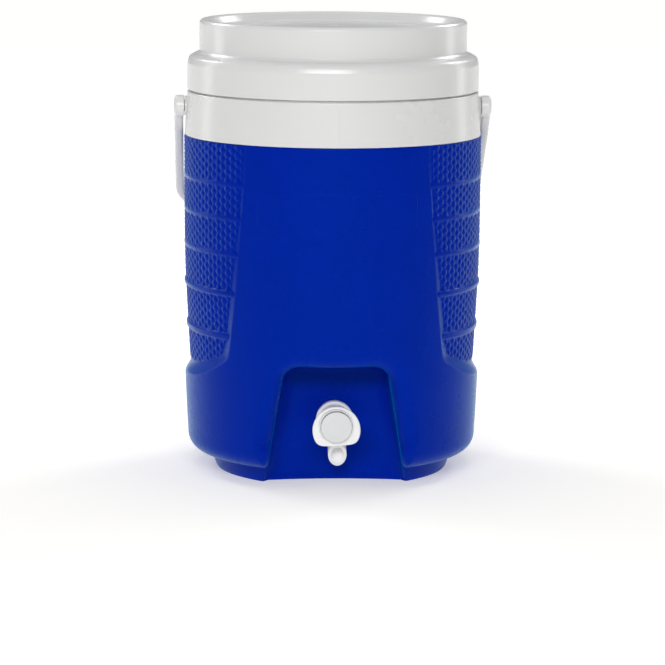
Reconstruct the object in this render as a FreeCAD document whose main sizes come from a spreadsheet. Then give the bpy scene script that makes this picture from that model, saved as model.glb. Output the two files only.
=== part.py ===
import FreeCAD, Part
import Sketcher
import math
import os

# Insulated two-tier drinks cooler with a recessed push-button spigot and a swing-over bail handle.
# Millimetres, +Z up. The origin is on the standing plane, on the cooler's vertical axis.
# The spigot faces -Y, the handle's pivots lie along X, and the handle is stowed against the back (+Y).

V = FreeCAD.Vector
doc = FreeCAD.newDocument("DrinksCooler")
sheet = doc.addObject("Spreadsheet::Sheet", "Dimensions")

DIMS = [
    # shell
    ("shell_top_z", 274.8), ("shell_rad", 121.3), ("shell_top_rad", 121.0), ("shell_wall", 2.5),
    ("belly_z", 75.7), ("belly_rad", 120.9), ("hem_z", 45.2), ("hem_rad", 119.6),
    ("round_z", 29.9), ("round_rad", 118.45), ("under_z", 15.0), ("under_rad", 110.5), ("under_arc", 14.6),
    ("foot_top_rad", 100.0), ("foot_rad", 95.0), ("foot_in_rad", 89.0), ("recess_z", 6.0), ("recess_rad", 85.0),
    ("pad_rad", 20.0),
    # alcove
    ("alcove_top_z", 101.6), ("alcove_top_half", 28.0), ("alcove_mid_z", 90.0), ("alcove_mid_half", 42.5),
    ("alcove_low_half", 57.0), ("alcove_back_rad", 270.0), ("alcove_back_y", 64.5), ("alcove_edge_rad", 7.0),
    # grip panels
    ("panel_top_z", 271.0), ("panel_bot_z", 91.0), ("panel_ledge_z", 78.0), ("panel_half_deg", 50.0),
    ("panel_top_rad", 120.95), ("panel_mid_rad", 120.35), ("panel_bot_rad", 116.35), ("rib_high", 1.55), ("rib_half", 2.6),
    # liner, neck and collar
    ("tank_rad", 93.0), ("tank_wall", 2.3), ("tank_floor_z", 22.0), ("neck_top_z", 332.0), ("neck_rad", 116.0),
    ("collar_top_z", 310.0), ("collar_top_rad", 119.0), ("collar_bot_rad", 121.0), ("tank_front_y", 58.0),
    ("tuck_z", 262.0), ("tuck_rad", 118.4),
    # trunnions and handle
    ("pivot_z", 297.7), ("boss_rad", 8.0), ("boss_x", 121.0), ("pin_rad", 4.5), ("pin_end_x", 127.0),
    ("eye_rad", 8.6), ("eye_in_x", 121.4), ("eye_out_x", 130.0), ("eye_bore_rad", 4.55), ("eye_bore_x", 127.4),
    ("arm_in_x", 122.5), ("arm_out_x", 129.6), ("bail_in", 158.7), ("bail_out", 165.8), ("bail_in_arc", 40.0),
    ("strap_w", 19.0), ("stow_deg", 36.5),
    # lid
    ("skirt_z", 312.9), ("skirt_rad", 119.0), ("skirt_in_rad", 116.6), ("shoulder_z", 340.5), ("tier_rad", 109.0),
    ("tier_in_rad", 106.6), ("lid_top_z", 368.3), ("dish_z", 360.0), ("dish_rad", 96.5), ("dish_mid_z", 363.6),
    ("plug_rad", 92.4), ("plug_z", 318.0), ("pan_z", 332.3), ("pan_top_z", 334.6),
    # spigot
    ("spig_z", 50.2), ("wall_hole_rad", 11.3), ("seat_y", 66.0), ("seat_rad", 18.0),
    ("flange_rad", 15.3), ("flange_z", 49.7), ("flange_y", 71.5), ("shank_rad", 11.0), ("shank_end_y", 42.0),
    ("barrel_rad", 12.6), ("cup_rad", 15.6), ("plate_rad", 19.2), ("plate_z", 47.8), ("plate_flat_z", 35.1),
    ("plate_y", 106.5), ("plate_back_y", 104.0), ("chamber_rad", 7.5), ("button_z", 50.9), ("button_rad", 12.5),
    ("button_y", 111.0), ("bezel_rad", 13.9), ("bezel_y", 108.0), ("recess_y", 100.6), ("stem_rad", 2.5),
    ("spout_y", 93.0), ("spout_rad", 7.5), ("spout_bore", 5.05), ("spout_tip_z", 14.3),
]
D = {}
for row, (alias, value) in enumerate(DIMS, start=1):
    sheet.set("A%d" % row, alias)
    sheet.set("B%d" % row, str(value))
    sheet.setAlias("B%d" % row, alias)
    D[alias] = value
doc.recompute()


def val(q):
    """Number of a quantity: a number, an alias, or (sign, alias, offset)."""
    if isinstance(q, str):
        return D[q]
    if isinstance(q, tuple):
        return q[0] * D[q[1]] + q[2]
    return float(q)


def expr(q):
    if isinstance(q, str):
        return "Dimensions." + q
    if isinstance(q, tuple):
        return "%g * Dimensions.%s + %g" % q
    return None


def bind(obj, prop, q):
    """Set a property and tie it to the sheet where the quantity names a cell."""
    e = expr(q)
    if e:
        obj.setExpression(prop, e)
    else:
        setattr(obj, prop, val(q))


def plane_of(body, role):
    return [f for f in body.Origin.OriginFeatures if f.Role == role][0]


def sketch_on(body, name, role, loops, offset=None):
    """Closed loops on an origin plane. Each loop is a list of (a, b, bulge): a vertex, and the radius of the
    arc to the next vertex (0 for a straight line, positive bows to the left of travel, negative to the right)."""
    sk = body.newObject("Sketcher::SketchObject", name)
    sk.AttachmentSupport = [(plane_of(body, role), "")]
    sk.MapMode = "FlatFace"
    if offset is not None:
        sk.AttachmentOffset = FreeCAD.Placement(V(0, 0, offset), FreeCAD.Rotation())
    for loop in loops:
        n = len(loop)
        pts = [V(val(p[0]), val(p[1]), 0) for p in loop]
        ids = []
        for i in range(n):
            a, b = pts[i], pts[(i + 1) % n]
            rad = val(loop[i][2]) if len(loop[i]) > 2 else 0
            if rad:
                half = (b - a) * 0.5
                d = half.Length
                r = abs(rad)
                hgt = math.sqrt(max(r * r - d * d, 0.0))
                left = V(-half.y, half.x, 0).normalize()
                side = 1 if rad > 0 else -1
                centre = a + half - left * (hgt * side)
                mid = centre + left * (r * side)
                ids.append(sk.addGeometry(Part.Arc(a, mid, b), False))
            else:
                ids.append(sk.addGeometry(Part.LineSegment(a, b), False))
        # start point of each edge, arcs included, follows the travel direction of the loop
        ends = []
        for i, g in enumerate(ids):
            first = sk.getPoint(g, 1)
            fwd = (first - pts[i]).Length < (first - pts[(i + 1) % n]).Length
            ends.append((1, 2) if fwd else (2, 1))
        cons = []
        for i in range(n):
            j = (i + 1) % n
            cons.append(Sketcher.Constraint("Coincident", ids[i], ends[i][1], ids[j], ends[j][0]))
        sk.addConstraint(cons)
        for i in range(n):
            for k, kind in ((0, "DistanceX"), (1, "DistanceY")):
                q = loop[i][k]
                v = val(q)
                if abs(v) < 1e-9:
                    sk.addConstraint(Sketcher.Constraint("PointOnObject", ids[i], ends[i][0], -2 if k == 0 else -1))
                else:
                    c = sk.addConstraint(Sketcher.Constraint(kind, -1, 1, ids[i], ends[i][0], v))
                    e = expr(q)
                    if e:
                        sk.setExpression("Constraints[%d]" % c, e)
            rad = loop[i][2] if len(loop[i]) > 2 else 0
            if val(rad):
                sk.addConstraint(Sketcher.Constraint("Radius", ids[i], abs(val(rad))))
    return sk


def body_named(name):
    return doc.addObject("PartDesign::Body", name)


def revolve(name, loops, angle=360.0, midplane=False, role="XZ_Plane"):
    """Solid of revolution about Z from a half section drawn as radius and height."""
    body = body_named(name)
    sk = sketch_on(body, name + "_section", role, loops)
    rev = body.newObject("PartDesign::Revolution", name + "_turn")
    rev.Profile = sk
    rev.ReferenceAxis = (sk, ["V_Axis"])
    bind(rev, "Angle", angle)
    rev.Midplane = midplane
    doc.recompute()
    return body


def prism(name, role, loops, length, midplane=False, reversed_=False, offset=None):
    body = body_named(name)
    sk = sketch_on(body, name + "_outline", role, loops, offset)
    pad = body.newObject("PartDesign::Pad", name + "_pad")
    pad.Profile = sk
    bind(pad, "Length", length)
    pad.Midplane = midplane
    pad.Reversed = reversed_
    doc.recompute()
    return body


def cyl(name, rad, length, base, axis):
    """Cylinder from a base point along an axis direction ('X', 'Y', 'Z', '-X', '-Y')."""
    c = doc.addObject("Part::Cylinder", name)
    bind(c, "Radius", rad)
    c.Height = val(length)
    d = {"X": V(1, 0, 0), "-X": V(-1, 0, 0), "Y": V(0, 1, 0), "-Y": V(0, -1, 0), "Z": V(0, 0, 1)}[axis]
    c.Placement = FreeCAD.Placement(V(*[val(b) for b in base]), FreeCAD.Rotation(V(0, 0, 1), d))
    for k, comp in enumerate(("x", "y", "z")):
        e = expr(base[k])
        if e:
            c.setExpression("Placement.Base." + comp, e)
    return c


def cut(name, base, tools):
    out = base
    for i, t in enumerate(tools):
        o = doc.addObject("Part::Cut", name if i == len(tools) - 1 else "%s_c%d" % (name, i))
        o.Base, o.Tool = out, t
        out = o
    doc.recompute()
    return out


def fuse(name, shapes):
    o = doc.addObject("Part::MultiFuse", name)
    o.Shapes = shapes
    o.Refine = True
    doc.recompute()
    return o


def common(name, a, b):
    o = doc.addObject("Part::Common", name)
    o.Base, o.Tool = a, b
    doc.recompute()
    return o


def ring(name, r_in, r_out, y_front, y_back, z):
    """Washer about an axis along Y, between y = -y_front and y = -y_back."""
    length = val(y_front) - val(y_back)
    a = cyl(name + "_disc", r_out, length, (0, (-1, y_front, 0) if isinstance(y_front, str) else -y_front, z), "Y")
    b = cyl(name + "_eye", r_in, length + 2, (0, -val(y_front) - 1, z), "Y")
    return cut(name, a, [b])


NODES = {}


def node(label, obj):
    obj.Label = label
    NODES[label] = obj


# ------------------------------------------------------------------ outer shell
# Closed outer form: foot ring, rolled hem, straight side.
shell_outer = revolve("shell_outer", [[
    (0, 0), ("foot_rad", 0),
    ("foot_top_rad", 13.0), ("under_rad", "under_z", (-1, "under_arc", 0)), ("round_rad", "round_z"),
    ("hem_rad", "hem_z"), ("belly_rad", "belly_z"), ("shell_rad", 110.0), ("shell_rad", 240.0),
    ("shell_top_rad", "shell_top_z"), (0, "shell_top_z")]])
# Shallow recess under the base, closed off behind the niche so that the foot follows the niche's back wall.
recess_disc = revolve("recess_disc", [[
    (0, -1.0), ((1, "foot_in_rad", 0.6), -1.0), ("recess_rad", "recess_z"), (0, "recess_z")]])
recess_keep = doc.addObject("Part::Box", "recess_keep")
recess_keep.Length, recess_keep.Width, recess_keep.Height = 200.0, 60.0, 12.0
recess_keep.Placement = FreeCAD.Placement(V(-100.0, -117.0, -3.0), FreeCAD.Rotation())
base_recess = cut("base_recess", recess_disc, [recess_keep])
# Inner form of the blow-moulded wall, running out through the top.
shell_void = revolve("shell_void", [[
    (0, (1, "recess_z", 2.5)), (91.0, (1, "recess_z", 2.5)), (99.0, 16.6), (108.8, (1, "under_z", 2.8), -12.0),
    ((1, "round_rad", -2.5), 31.0), ((1, "hem_rad", -2.5), "hem_z"), ((1, "belly_rad", -2.5), "belly_z"),
    ((1, "shell_rad", -2.6), 110.0), ((1, "shell_rad", -2.6), 240.0), ("tuck_rad", (1, "tuck_z", 0)),
    ((1, "tuck_rad", 0.1), 262.5), ((1, "tuck_rad", 0.1), 280.0), (0, 280.0)]])


def panel_profile(off, ribs):
    """Half section of the ring of material removed to form a grip panel, its inner edge following the panel."""
    pts = [((1, "panel_top_rad", -off), "panel_top_z")]
    if ribs:
        for z, r in ((244.5, 120.9), (216.7, 120.75)):
            pts += [(r, (0, "rib_half", z + 2.6), 3.0), (r, (0, "rib_half", z - 2.6))]
    pts.append(((1, "panel_mid_rad", 0.4 - off), 196.0))
    if ribs:
        pts += [(120.65, 189.1, 3.0), (120.5, 183.9)]
    pts.append((120.15 - off, 166.0))
    if ribs:
        pts += [(119.65, 156.9, 3.0), (119.4, 151.7)]
    pts.append((118.75 - off, 136.0))
    if ribs:
        pts += [(117.95, 122.1, 3.0), (117.65, 116.9)]
    pts.append((116.95 - off, 101.0))
    pts.append(((1, "panel_bot_rad", -off), "panel_bot_z"))
    pts.append((120.95 - off, "panel_ledge_z"))
    pts.append((130.0, "panel_ledge_z"))
    pts.append((130.0, "panel_top_z"))
    return [pts]


panel_r = revolve("panel_cut_right", panel_profile(0.0, True), 100.0, True)
panel_r.Tip.setExpression("Angle", "2 * Dimensions.panel_half_deg")
panel_in_r = revolve("panel_in_right", panel_profile(2.5, False), 104.0, True)


def mirrored(name, src):
    m = doc.addObject("Part::Mirroring", name)
    m.Source = src
    m.Normal = V(1, 0, 0)
    m.Base = V(0, 0, 0)
    return m


panel_l = mirrored("panel_cut_left", panel_r)
panel_in_l = mirrored("panel_in_left", panel_in_r)


def alcove_block(name, grow, back):
    """Trapezoidal niche, open below, with a gently hollow back wall; grow thickens it all round."""
    loop = [((-1, "alcove_low_half", -grow - 2.0), -12.0), ((1, "alcove_low_half", grow + 2.0), -12.0),
            ((1, "alcove_mid_half", grow), "alcove_mid_z", 13.5 + grow),
            ((1, "alcove_top_half", 0.4 * grow), (1, "alcove_top_z", grow)),
            ((-1, "alcove_top_half", -0.4 * grow), (1, "alcove_top_z", grow), 13.5 + grow),
            ((-1, "alcove_mid_half", -grow), "alcove_mid_z")]
    loop[2] = (loop[2][0], loop[2][1], -(13.5 + grow))
    loop[4] = (loop[4][0], loop[4][1], -(13.5 + grow))
    block = prism(name + "_block", "XZ_Plane", [loop], 160.0)
    wall = doc.addObject("Part::Cylinder", name + "_wall")
    wall.setExpression("Radius", "Dimensions.alcove_back_rad + %g" % back)
    wall.Height = 260.0
    wall.Placement = FreeCAD.Placement(V(0, -(D["alcove_back_y"] + D["alcove_back_rad"]), -60), FreeCAD.Rotation())
    wall.setExpression("Placement.Base.y", "-Dimensions.alcove_back_y - Dimensions.alcove_back_rad")
    return common(name, block, wall)


alcove = alcove_block("alcove_out", 0.0, 0.0)
alcove_in = alcove_block("alcove_in", 4.6, 2.5)
alcove_foam = alcove_block("alcove_foam", 9.6, 3.2)

panelled = cut("shell_panelled", shell_outer, [base_recess, panel_r, panel_l])
niched = cut("shell_niched", panelled, [alcove])

# Roll the mouth of the niche over into the side wall.
edge_ids = []
for i, e in enumerate(niched.Shape.Edges, start=1):
    on_wall = True
    zmin, zmax = 1e9, -1e9
    for k in range(5):
        p = e.valueAt(e.FirstParameter + (e.LastParameter - e.FirstParameter) * k / 4.0)
        zmin, zmax = min(zmin, p.z), max(zmax, p.z)
        if p.y > -80 or abs(p.x) > 64 or abs(math.hypot(p.x, p.y) - 121) > 1.3 or p.z < 44 or p.z > 104:
            on_wall = False
    if on_wall and zmax - zmin >= 0 and abs(p.x) <= 64:
        fx = e.valueAt(e.FirstParameter)
        gx = e.valueAt(e.LastParameter)
        closed_hoop = abs(fx.z - gx.z) < 0.05 and abs(fx.z - 101.6) > 0.5
        if not closed_hoop:
            edge_ids.append(i)
rolled = doc.addObject("Part::Fillet", "shell_rolled")
rolled.Base = niched
rolled.Edges = [(i, D["alcove_edge_rad"], D["alcove_edge_rad"]) for i in edge_ids]
doc.recompute()
if rolled.Shape.isNull() or not rolled.Shape.isValid() or rolled.Shape.Volume < 0.9 * niched.Shape.Volume:
    print("niche edge roll not possible, kept sharp", len(edge_ids))
    doc.removeObject("shell_rolled")
    rolled = niched
else:
    print("niche edge rolled", len(edge_ids))

void = cut("shell_hollow", shell_void, [panel_in_r, panel_in_l, alcove_in])
walled = cut("shell_walled", rolled, [void])
# Flat seat for the spigot's flange and gasket, with a centre pad under the base.
seat = cyl("spigot_seat", "seat_rad", 6.0, (0, (-1, "seat_y", 0), "spig_z"), "Y")
seat_trim = cyl("spigot_seat_trim", 270.0 + 2.5, 300.0, (0, -334.5, -40), "Z")
seat_disc = common("spigot_seat_disc", seat, seat_trim)
pad = cyl("centre_pad", "pad_rad", 7.0, (0, 0, 0), "Z")
joined = fuse("shell_joined", [walled, seat_disc, pad])
shell_hole = cyl("shell_spigot_hole", "wall_hole_rad", 40.0, (0, -90, "spig_z"), "Y")
fill_hole = cyl("foam_fill_hole", 8.0, 12.0, (0, 48.0, 0), "Z")
node("outer_shell", cut("outer_shell", joined, [shell_hole, fill_hole]))

# ------------------------------------------------------------------ inner liner: tank, neck and collar in one
tank_outer = revolve("tank_outer", [[
    (0, "tank_floor_z"), (86.3, "tank_floor_z", -9.0), ((1, "tank_rad", 2.3), 31.0),
    ((1, "tank_rad", 2.3), "neck_top_z"), (0, "neck_top_z")]])
tank_void = revolve("tank_void", [[
    (0, (1, "tank_floor_z", 2.3)), (86.3, (1, "tank_floor_z", 2.3), -6.7), ("tank_rad", 31.0),
    ("tank_rad", 345.0), (0, 345.0)]])


def tank_front(name, grow):
    """Wedge in front of the flat that lets the tank clear the niche; grow moves it outwards from the tank."""
    return prism(name, "YZ_Plane", [[
        ((-1, "tank_front_y", grow), -5.0), ((-1, "tank_front_y", grow), 112.0 + 0.6 * grow),
        ((-1, "tank_front_y", grow - 42.0), 139.0 + 0.6 * grow), (-130.0, 139.0 + 0.6 * grow), (-130.0, -5.0)]],
        200.0, midplane=True)


front_out = tank_front("tank_front_out", 0.0)
front_in = tank_front("tank_front_in", 2.3)
tank_solid = cut("tank_solid", tank_outer, [front_out])
tank_space = cut("tank_space", tank_void, [front_in])
neck = revolve("neck_collar", [[
    (94.0, 329.7), (94.0, "neck_top_z"), ((1, "neck_rad", -2.0), "neck_top_z", 2.0), ("neck_rad", (1, "neck_top_z", -2.0)),
    ("neck_rad", (1, "collar_top_z", 0.6)), ((1, "neck_rad", 0.6), "collar_top_z"),
    ((1, "collar_top_rad", -2.0), "collar_top_z", 2.2), ("collar_top_rad", (1, "collar_top_z", -2.4)),
    ("collar_bot_rad", "shell_top_z"), ("tuck_rad", "shell_top_z"), ("tuck_rad", "tuck_z"), (116.1, "tuck_z"),
    (116.1, 276.0), (118.4, 279.0), (116.7, 305.2), (113.7, 308.4), (113.7, 329.7)]])
bosses = []
for side, sgn in (("right", 1), ("left", -1)):
    ax = "X" if sgn > 0 else "-X"
    bosses.append(cyl("boss_" + side, "boss_rad", D["boss_x"] - 117.3, (sgn * 117.3, 0, "pivot_z"), ax))
    bosses.append(cyl("pin_" + side, "pin_rad", D["pin_end_x"] - 117.3, (sgn * 117.3, 0, "pivot_z"), ax))
liner_blank = cut("liner_blank", fuse("liner_fused", [tank_solid, neck] + bosses), [tank_space])
liner_hole = cyl("liner_spigot_hole", "wall_hole_rad", 30.0, (0, -75, "spig_z"), "Y")
node("inner_liner", cut("inner_liner", liner_blank, [liner_hole]))

# ------------------------------------------------------------------ foam between shell and liner
foam_blank = revolve("foam_blank", [[
    (0, 8.8), (90.8, 8.8), (98.7, 16.95), (108.6, 18.15, -11.6), (115.6, 31.1), (116.75, "hem_z"), (118.05, "belly_z"),
    (118.35, 110.0), (118.35, 240.0), (118.05, 261.6), (115.75, 261.6), (115.75, 276.1), (118.0, 279.1),
    (116.35, 305.0), (113.4, 308.2), (113.4, 329.4), (95.6, 329.4), (95.6, 31.0, 9.3), (86.3, 21.7), (0, 21.7)]])
foam_front_fill = prism("foam_front_fill", "YZ_Plane", [[
    (-58.3, 22.0), (-58.3, 111.8), (-99.5, 138.3), (-99.5, 22.0)]], 150.0, midplane=True)
foam_front_round = cyl("foam_front_round", 96.4, 130.0, (0, 0, 20.0), "Z")
foam_front = common("foam_front", foam_front_fill, foam_front_round)
panel_foam_r = revolve("panel_foam_right", panel_profile(2.8, False), 104.6, True)
panel_foam_l = mirrored("panel_foam_left", panel_foam_r)
foam_hole = cyl("foam_spigot_hole", 11.6, 40.0, (0, -90, "spig_z"), "Y")
foam_plug_clear = cyl("foam_plug_clear", 8.3, 3.0, (0, 48.0, 6.5), "Z")
foam_all = fuse("foam_all", [foam_blank, foam_front])
node("body_foam", cut("body_foam", foam_all, [panel_foam_r, panel_foam_l, alcove_foam, foam_hole, foam_plug_clear]))

node("foam_fill_plug", revolve("foam_fill_plug", [[
    (0, 4.2), (9.2, 4.2, -0.8), (10.0, 5.0), (10.0, "recess_z"), (7.95, "recess_z"), (7.95, 8.6), (0, 8.6)]]))
NODES["foam_fill_plug"].Placement = FreeCAD.Placement(V(0, 48.0, 0), FreeCAD.Rotation())

# ------------------------------------------------------------------ lid
node("lid_shell", revolve("lid_shell", [[
    ("skirt_in_rad", (1, "skirt_z", 0.5)), ((1, "skirt_in_rad", 0.5), "skirt_z"), ((1, "skirt_rad", -0.8), "skirt_z", -0.8),
    ("skirt_rad", (1, "skirt_z", 0.8)), ("skirt_rad", 331.5, -8.6), (113.6, "shoulder_z"), (110.9, 341.4, 2.2),
    ("tier_rad", 343.6), ("tier_rad", (1, "lid_top_z", -2.2), -2.2), ((1, "tier_rad", -2.2), "lid_top_z"),
    (105.2, "lid_top_z", -2.4), (103.1, 367.2), (99.4, 361.7, 2.6), ("dish_rad", "dish_z"), (72.0, 361.6),
    (48.0, 362.7), (24.0, "dish_mid_z"), (0, "dish_mid_z"), (0, (1, "dish_mid_z", -2.4)), (24.0, (1, "dish_mid_z", -2.4)),
    (48.0, 360.3), (72.0, 359.2), (96.3, 357.6), (100.8, 359.6), (104.3, 364.9),
    ("tier_in_rad", 364.9), ("tier_in_rad", 339.4), (112.2, 338.1), ("skirt_in_rad", 334.8)]]))
node("lid_liner", revolve("lid_liner", [[
    (0, "plug_z"), ((1, "plug_rad", -2.5), "plug_z", -2.5), ("plug_rad", (1, "plug_z", 2.5)), ("plug_rad", 323.8),
    ((1, "plug_rad", -1.2), 323.8), ((1, "plug_rad", -1.2), 326.2), ("plug_rad", 326.2), ("plug_rad", "pan_z"),
    ((1, "skirt_in_rad", -0.05), "pan_z"), ((1, "skirt_in_rad", -0.05), "pan_top_z"), (89.4, "pan_top_z"),
    (89.4, 320.3), (0, 320.3)]]))
node("lid_foam", revolve("lid_foam", [[
    (0, 320.6), (89.1, 320.6), (89.1, 334.9), (115.4, 334.9), (111.9, 337.8), (106.3, 339.1), (106.3, 364.6),
    (104.5, 364.6), (101.0, 359.2), (96.3, 357.25),
    (72.0, 358.8), (48.0, 359.9), (24.0, 360.85), (0, 360.85)]]))
seal = doc.addObject("Part::Torus", "lid_seal_ring")
seal.Radius1 = 91.96
seal.Radius2 = 0.7
seal.setExpression("Radius1", "Dimensions.plug_rad - 0.44")
seal.Placement = FreeCAD.Placement(V(0, 0, 325.0), FreeCAD.Rotation())
node("lid_seal", seal)

# ------------------------------------------------------------------ bail handle
# Drawn flat with the arms along +Y of its own frame, then swung down to its stowed angle about the pivots.
band = prism("bail_band", "XY_Plane", [[
    ("arm_out_x", 0), ("arm_out_x", (1, "bail_in", -40.0), -47.1), ((1, "arm_out_x", -47.1), "bail_out"),
    ((-1, "arm_out_x", 47.1), "bail_out", -47.1), ((-1, "arm_out_x", 0), (1, "bail_in", -40.0)), ((-1, "arm_out_x", 0), 0),
    ((-1, "arm_in_x", 0), 0), ((-1, "arm_in_x", 0), (1, "bail_in", -40.0), 40.0), ((-1, "arm_in_x", 40.0), "bail_in"),
    ((1, "arm_in_x", -40.0), "bail_in", 40.0), ("arm_in_x", (1, "bail_in", -40.0)), ("arm_in_x", 0)]],
    "strap_w", midplane=True)
# Waist the arms towards the eyes.
waist = []
for side, sgn in (("up", 1), ("down", -1)):
    waist.append(prism("bail_waist_" + side, "YZ_Plane", [[
        (-12.0, sgn * 6.6), (8.0, sgn * 6.6), (40.0, sgn * 9.5), (40.0, sgn * 14.0), (-12.0, sgn * 14.0)]],
        280.0, midplane=True))
band_cut = cut("bail_waisted", band, waist)
# Ease the strap's long edges.
ease = doc.addObject("Part::Fillet", "bail_eased")
ease.Base = band_cut
long_edges = []
for i, e in enumerate(band_cut.Shape.Edges, start=1):
    p0, p1 = e.valueAt(e.FirstParameter), e.valueAt(e.LastParameter)
    pm = e.valueAt((e.FirstParameter + e.LastParameter) / 2)
    if min(p0.y, p1.y) > 39.5 and abs(abs(pm.z) - 9.5) < 0.01 and (pm - p0).Length > 4:
        long_edges.append((i, 1.6, 1.6))
ease.Edges = long_edges
doc.recompute()
if ease.Shape.isNull() or not ease.Shape.isValid():
    print("strap ease not possible")
    doc.removeObject("bail_eased")
    ease = band_cut
parts = [ease]
bores = []
for side, sgn in (("right", 1), ("left", -1)):
    ax = "X" if sgn > 0 else "-X"
    eye = cyl("bail_eye_" + side, "eye_rad", D["eye_out_x"] - D["eye_in_x"], (sgn * D["eye_in_x"], 0, 0), ax)
    dome = doc.addObject("Part::Fillet", "bail_eye_dome_" + side)
    dome.Base = eye
    doc.recompute()
    for i, e in enumerate(eye.Shape.Edges, start=1):
        c = e.Curve
        if hasattr(c, "Center") and abs(abs(c.Center.x) - D["eye_out_x"]) < 0.01:
            dome.Edges = [(i, 2.2, 2.2)]
    parts.append(dome)
    bores.append(cyl("bail_bore_" + side, "eye_bore_rad", D["eye_bore_x"] - 119.0, (sgn * 119.0, 0, 0), ax))
doc.recompute()
bail = cut("bail_handle", fuse("bail_fused", parts), bores)
bail.Placement = FreeCAD.Placement(V(0, 0, D["pivot_z"]), FreeCAD.Rotation(V(1, 0, 0), -D["stow_deg"]))
bail.setExpression("Placement.Base.z", "Dimensions.pivot_z")
node("bail_handle", bail)

# ------------------------------------------------------------------ spigot
SZ = "spig_z"
flange = cyl("spig_flange", "flange_rad", D["flange_y"] - 68.0, (0, (-1, "flange_y", 0), "flange_z"), "Y")
shank = cyl("spig_shank", "shank_rad", 70.0 - D["shank_end_y"], (0, -70.0, SZ), "Y")
barrel = cyl("spig_barrel", "barrel_rad", D["plate_back_y"] - 70.0, (0, (-1, "plate_back_y", 0), SZ), "Y")
cup = cyl("spig_cup", "cup_rad", D["plate_y"] - 97.4, (0, (-1, "plate_y", 0), "button_z"), "Y")
# Finger plate: a disc cut flat below, with rounded lower corners.
half = 16.8
plate = prism("spig_plate", "XZ_Plane", [[
    (-12.4, "plate_flat_z"), (12.4, "plate_flat_z", -4.4), (half, (1, "plate_flat_z", 3.4), -19.2),
    (0, 67.0, -19.2), (-half, (1, "plate_flat_z", 3.4), -4.4)]], D["plate_y"] - D["plate_back_y"], offset=D["plate_back_y"])
spout = cyl("spig_spout", "spout_rad", 50.2 - 12.0, (0, (-1, "spout_y", 0), 12.0), "Z")
spout_cut = prism("spig_spout_cut", "YZ_Plane", [[
    (-84.0, (1, "spout_tip_z", -2.1)), (-101.5, (1, "spout_tip_z", 22.1)), (-120.0, (1, "spout_tip_z", 22.1)),
    (-120.0, 5.0), (-84.0, 5.0)]], 40.0, midplane=True)
spout_piece = cut("spig_spout_piece", spout, [spout_cut])
chamber = cyl("spig_chamber", "chamber_rad", 98.4 - 40.0, (0, -98.4, SZ), "Y")
gland = cyl("spig_gland", 5.4, 98.6 - 93.6, (0, -98.6, SZ), "Y")
gland_bore = cyl("spig_gland_bore", 4.4, 4.4, (0, -97.4, SZ), "Y")
stem_way = cyl("spig_stem_way", 2.55, 20.0, (0, -105.0, SZ), "Y")
recess = cyl("spig_recess", 13.65, 20.0, (0, -120.6, "button_z"), "Y")
spout_way = cyl("spig_spout_way", "spout_bore", 46.0, (0, (-1, "spout_y", 0), 2.0), "Z")
spig_solid = fuse("spig_solid", [flange, shank, barrel, cup, plate, spout_piece])
spig_hollow = cut("spig_hollow", spig_solid, [recess, chamber, spout_way])
spig_gland = fuse("spig_glanded", [spig_hollow, gland])
node("spigot_body", cut("spigot_body", spig_gland, [gland_bore, stem_way]))

node("button_bezel", ring("button_bezel", 12.85, "bezel_rad", 108.0, 106.5, "button_z"))
button_cap = cyl("button_cap", "button_rad", 111.0 - 104.8, (0, -111.0, "button_z"), "Y")
button_lip = cyl("button_lip", 13.35, 1.4, (0, -106.2, "button_z"), "Y")
button_solid = doc.addObject("Part::Fillet", "button_eased")
button_solid.Base = button_cap
doc.recompute()
for i, e in enumerate(button_cap.Shape.Edges, start=1):
    c = e.Curve
    if hasattr(c, "Center") and abs(c.Center.y + 111.0) < 0.01:
        button_solid.Edges = [(i, 0.9, 0.9)]
button_well = cyl("button_well", 11.2, 20.0, (0, -108.4, "button_z"), "Y")
button_hub = cyl("button_hub", 4.2, 108.6 - 104.8, (0, -108.6, SZ), "Y")
button_bore = cyl("button_bore", 2.55, 12.0, (0, -107.6, SZ), "Y")
button_body = cut("button_hollow", fuse("button_lipped", [button_solid, button_lip]), [button_well])
node("push_button", cut("push_button", fuse("button_hubbed", [button_body, button_hub]), [button_bore]))

stem_rod = cyl("stem_rod", "stem_rad", 107.5 - 35.5, (0, -107.5, SZ), "Y")
stem_head = cyl("stem_head", 4.2, 1.6, (0, -37.1, SZ), "Y")
node("valve_stem", fuse("valve_stem", [stem_rod, stem_head]))
poppet = cyl("poppet_disc", 9.6, 4.3, (0, -41.7, SZ), "Y")
nose = doc.addObject("Part::Cone", "poppet_nose")
nose.Radius1, nose.Radius2, nose.Height = 5.0, 6.9, 2.2
nose.Placement = FreeCAD.Placement(V(0, -43.8, D["spig_z"]), FreeCAD.Rotation(V(0, 0, 1), V(0, 1, 0)))
poppet_way = cyl("poppet_way", 2.52, 12.0, (0, -46.0, SZ), "Y")
node("valve_seal", cut("valve_seal", fuse("poppet_fused", [poppet, nose]), [poppet_way]))
oring = doc.addObject("Part::Torus", "stem_oring")
oring.Radius1, oring.Radius2 = 3.47, 0.9
oring.Placement = FreeCAD.Placement(V(0, -96.0, D["spig_z"]), FreeCAD.Rotation(V(0, 0, 1), V(0, 1, 0)))
oring.setExpression("Placement.Base.z", "Dimensions.spig_z")
node("stem_o_ring", oring)

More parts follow.
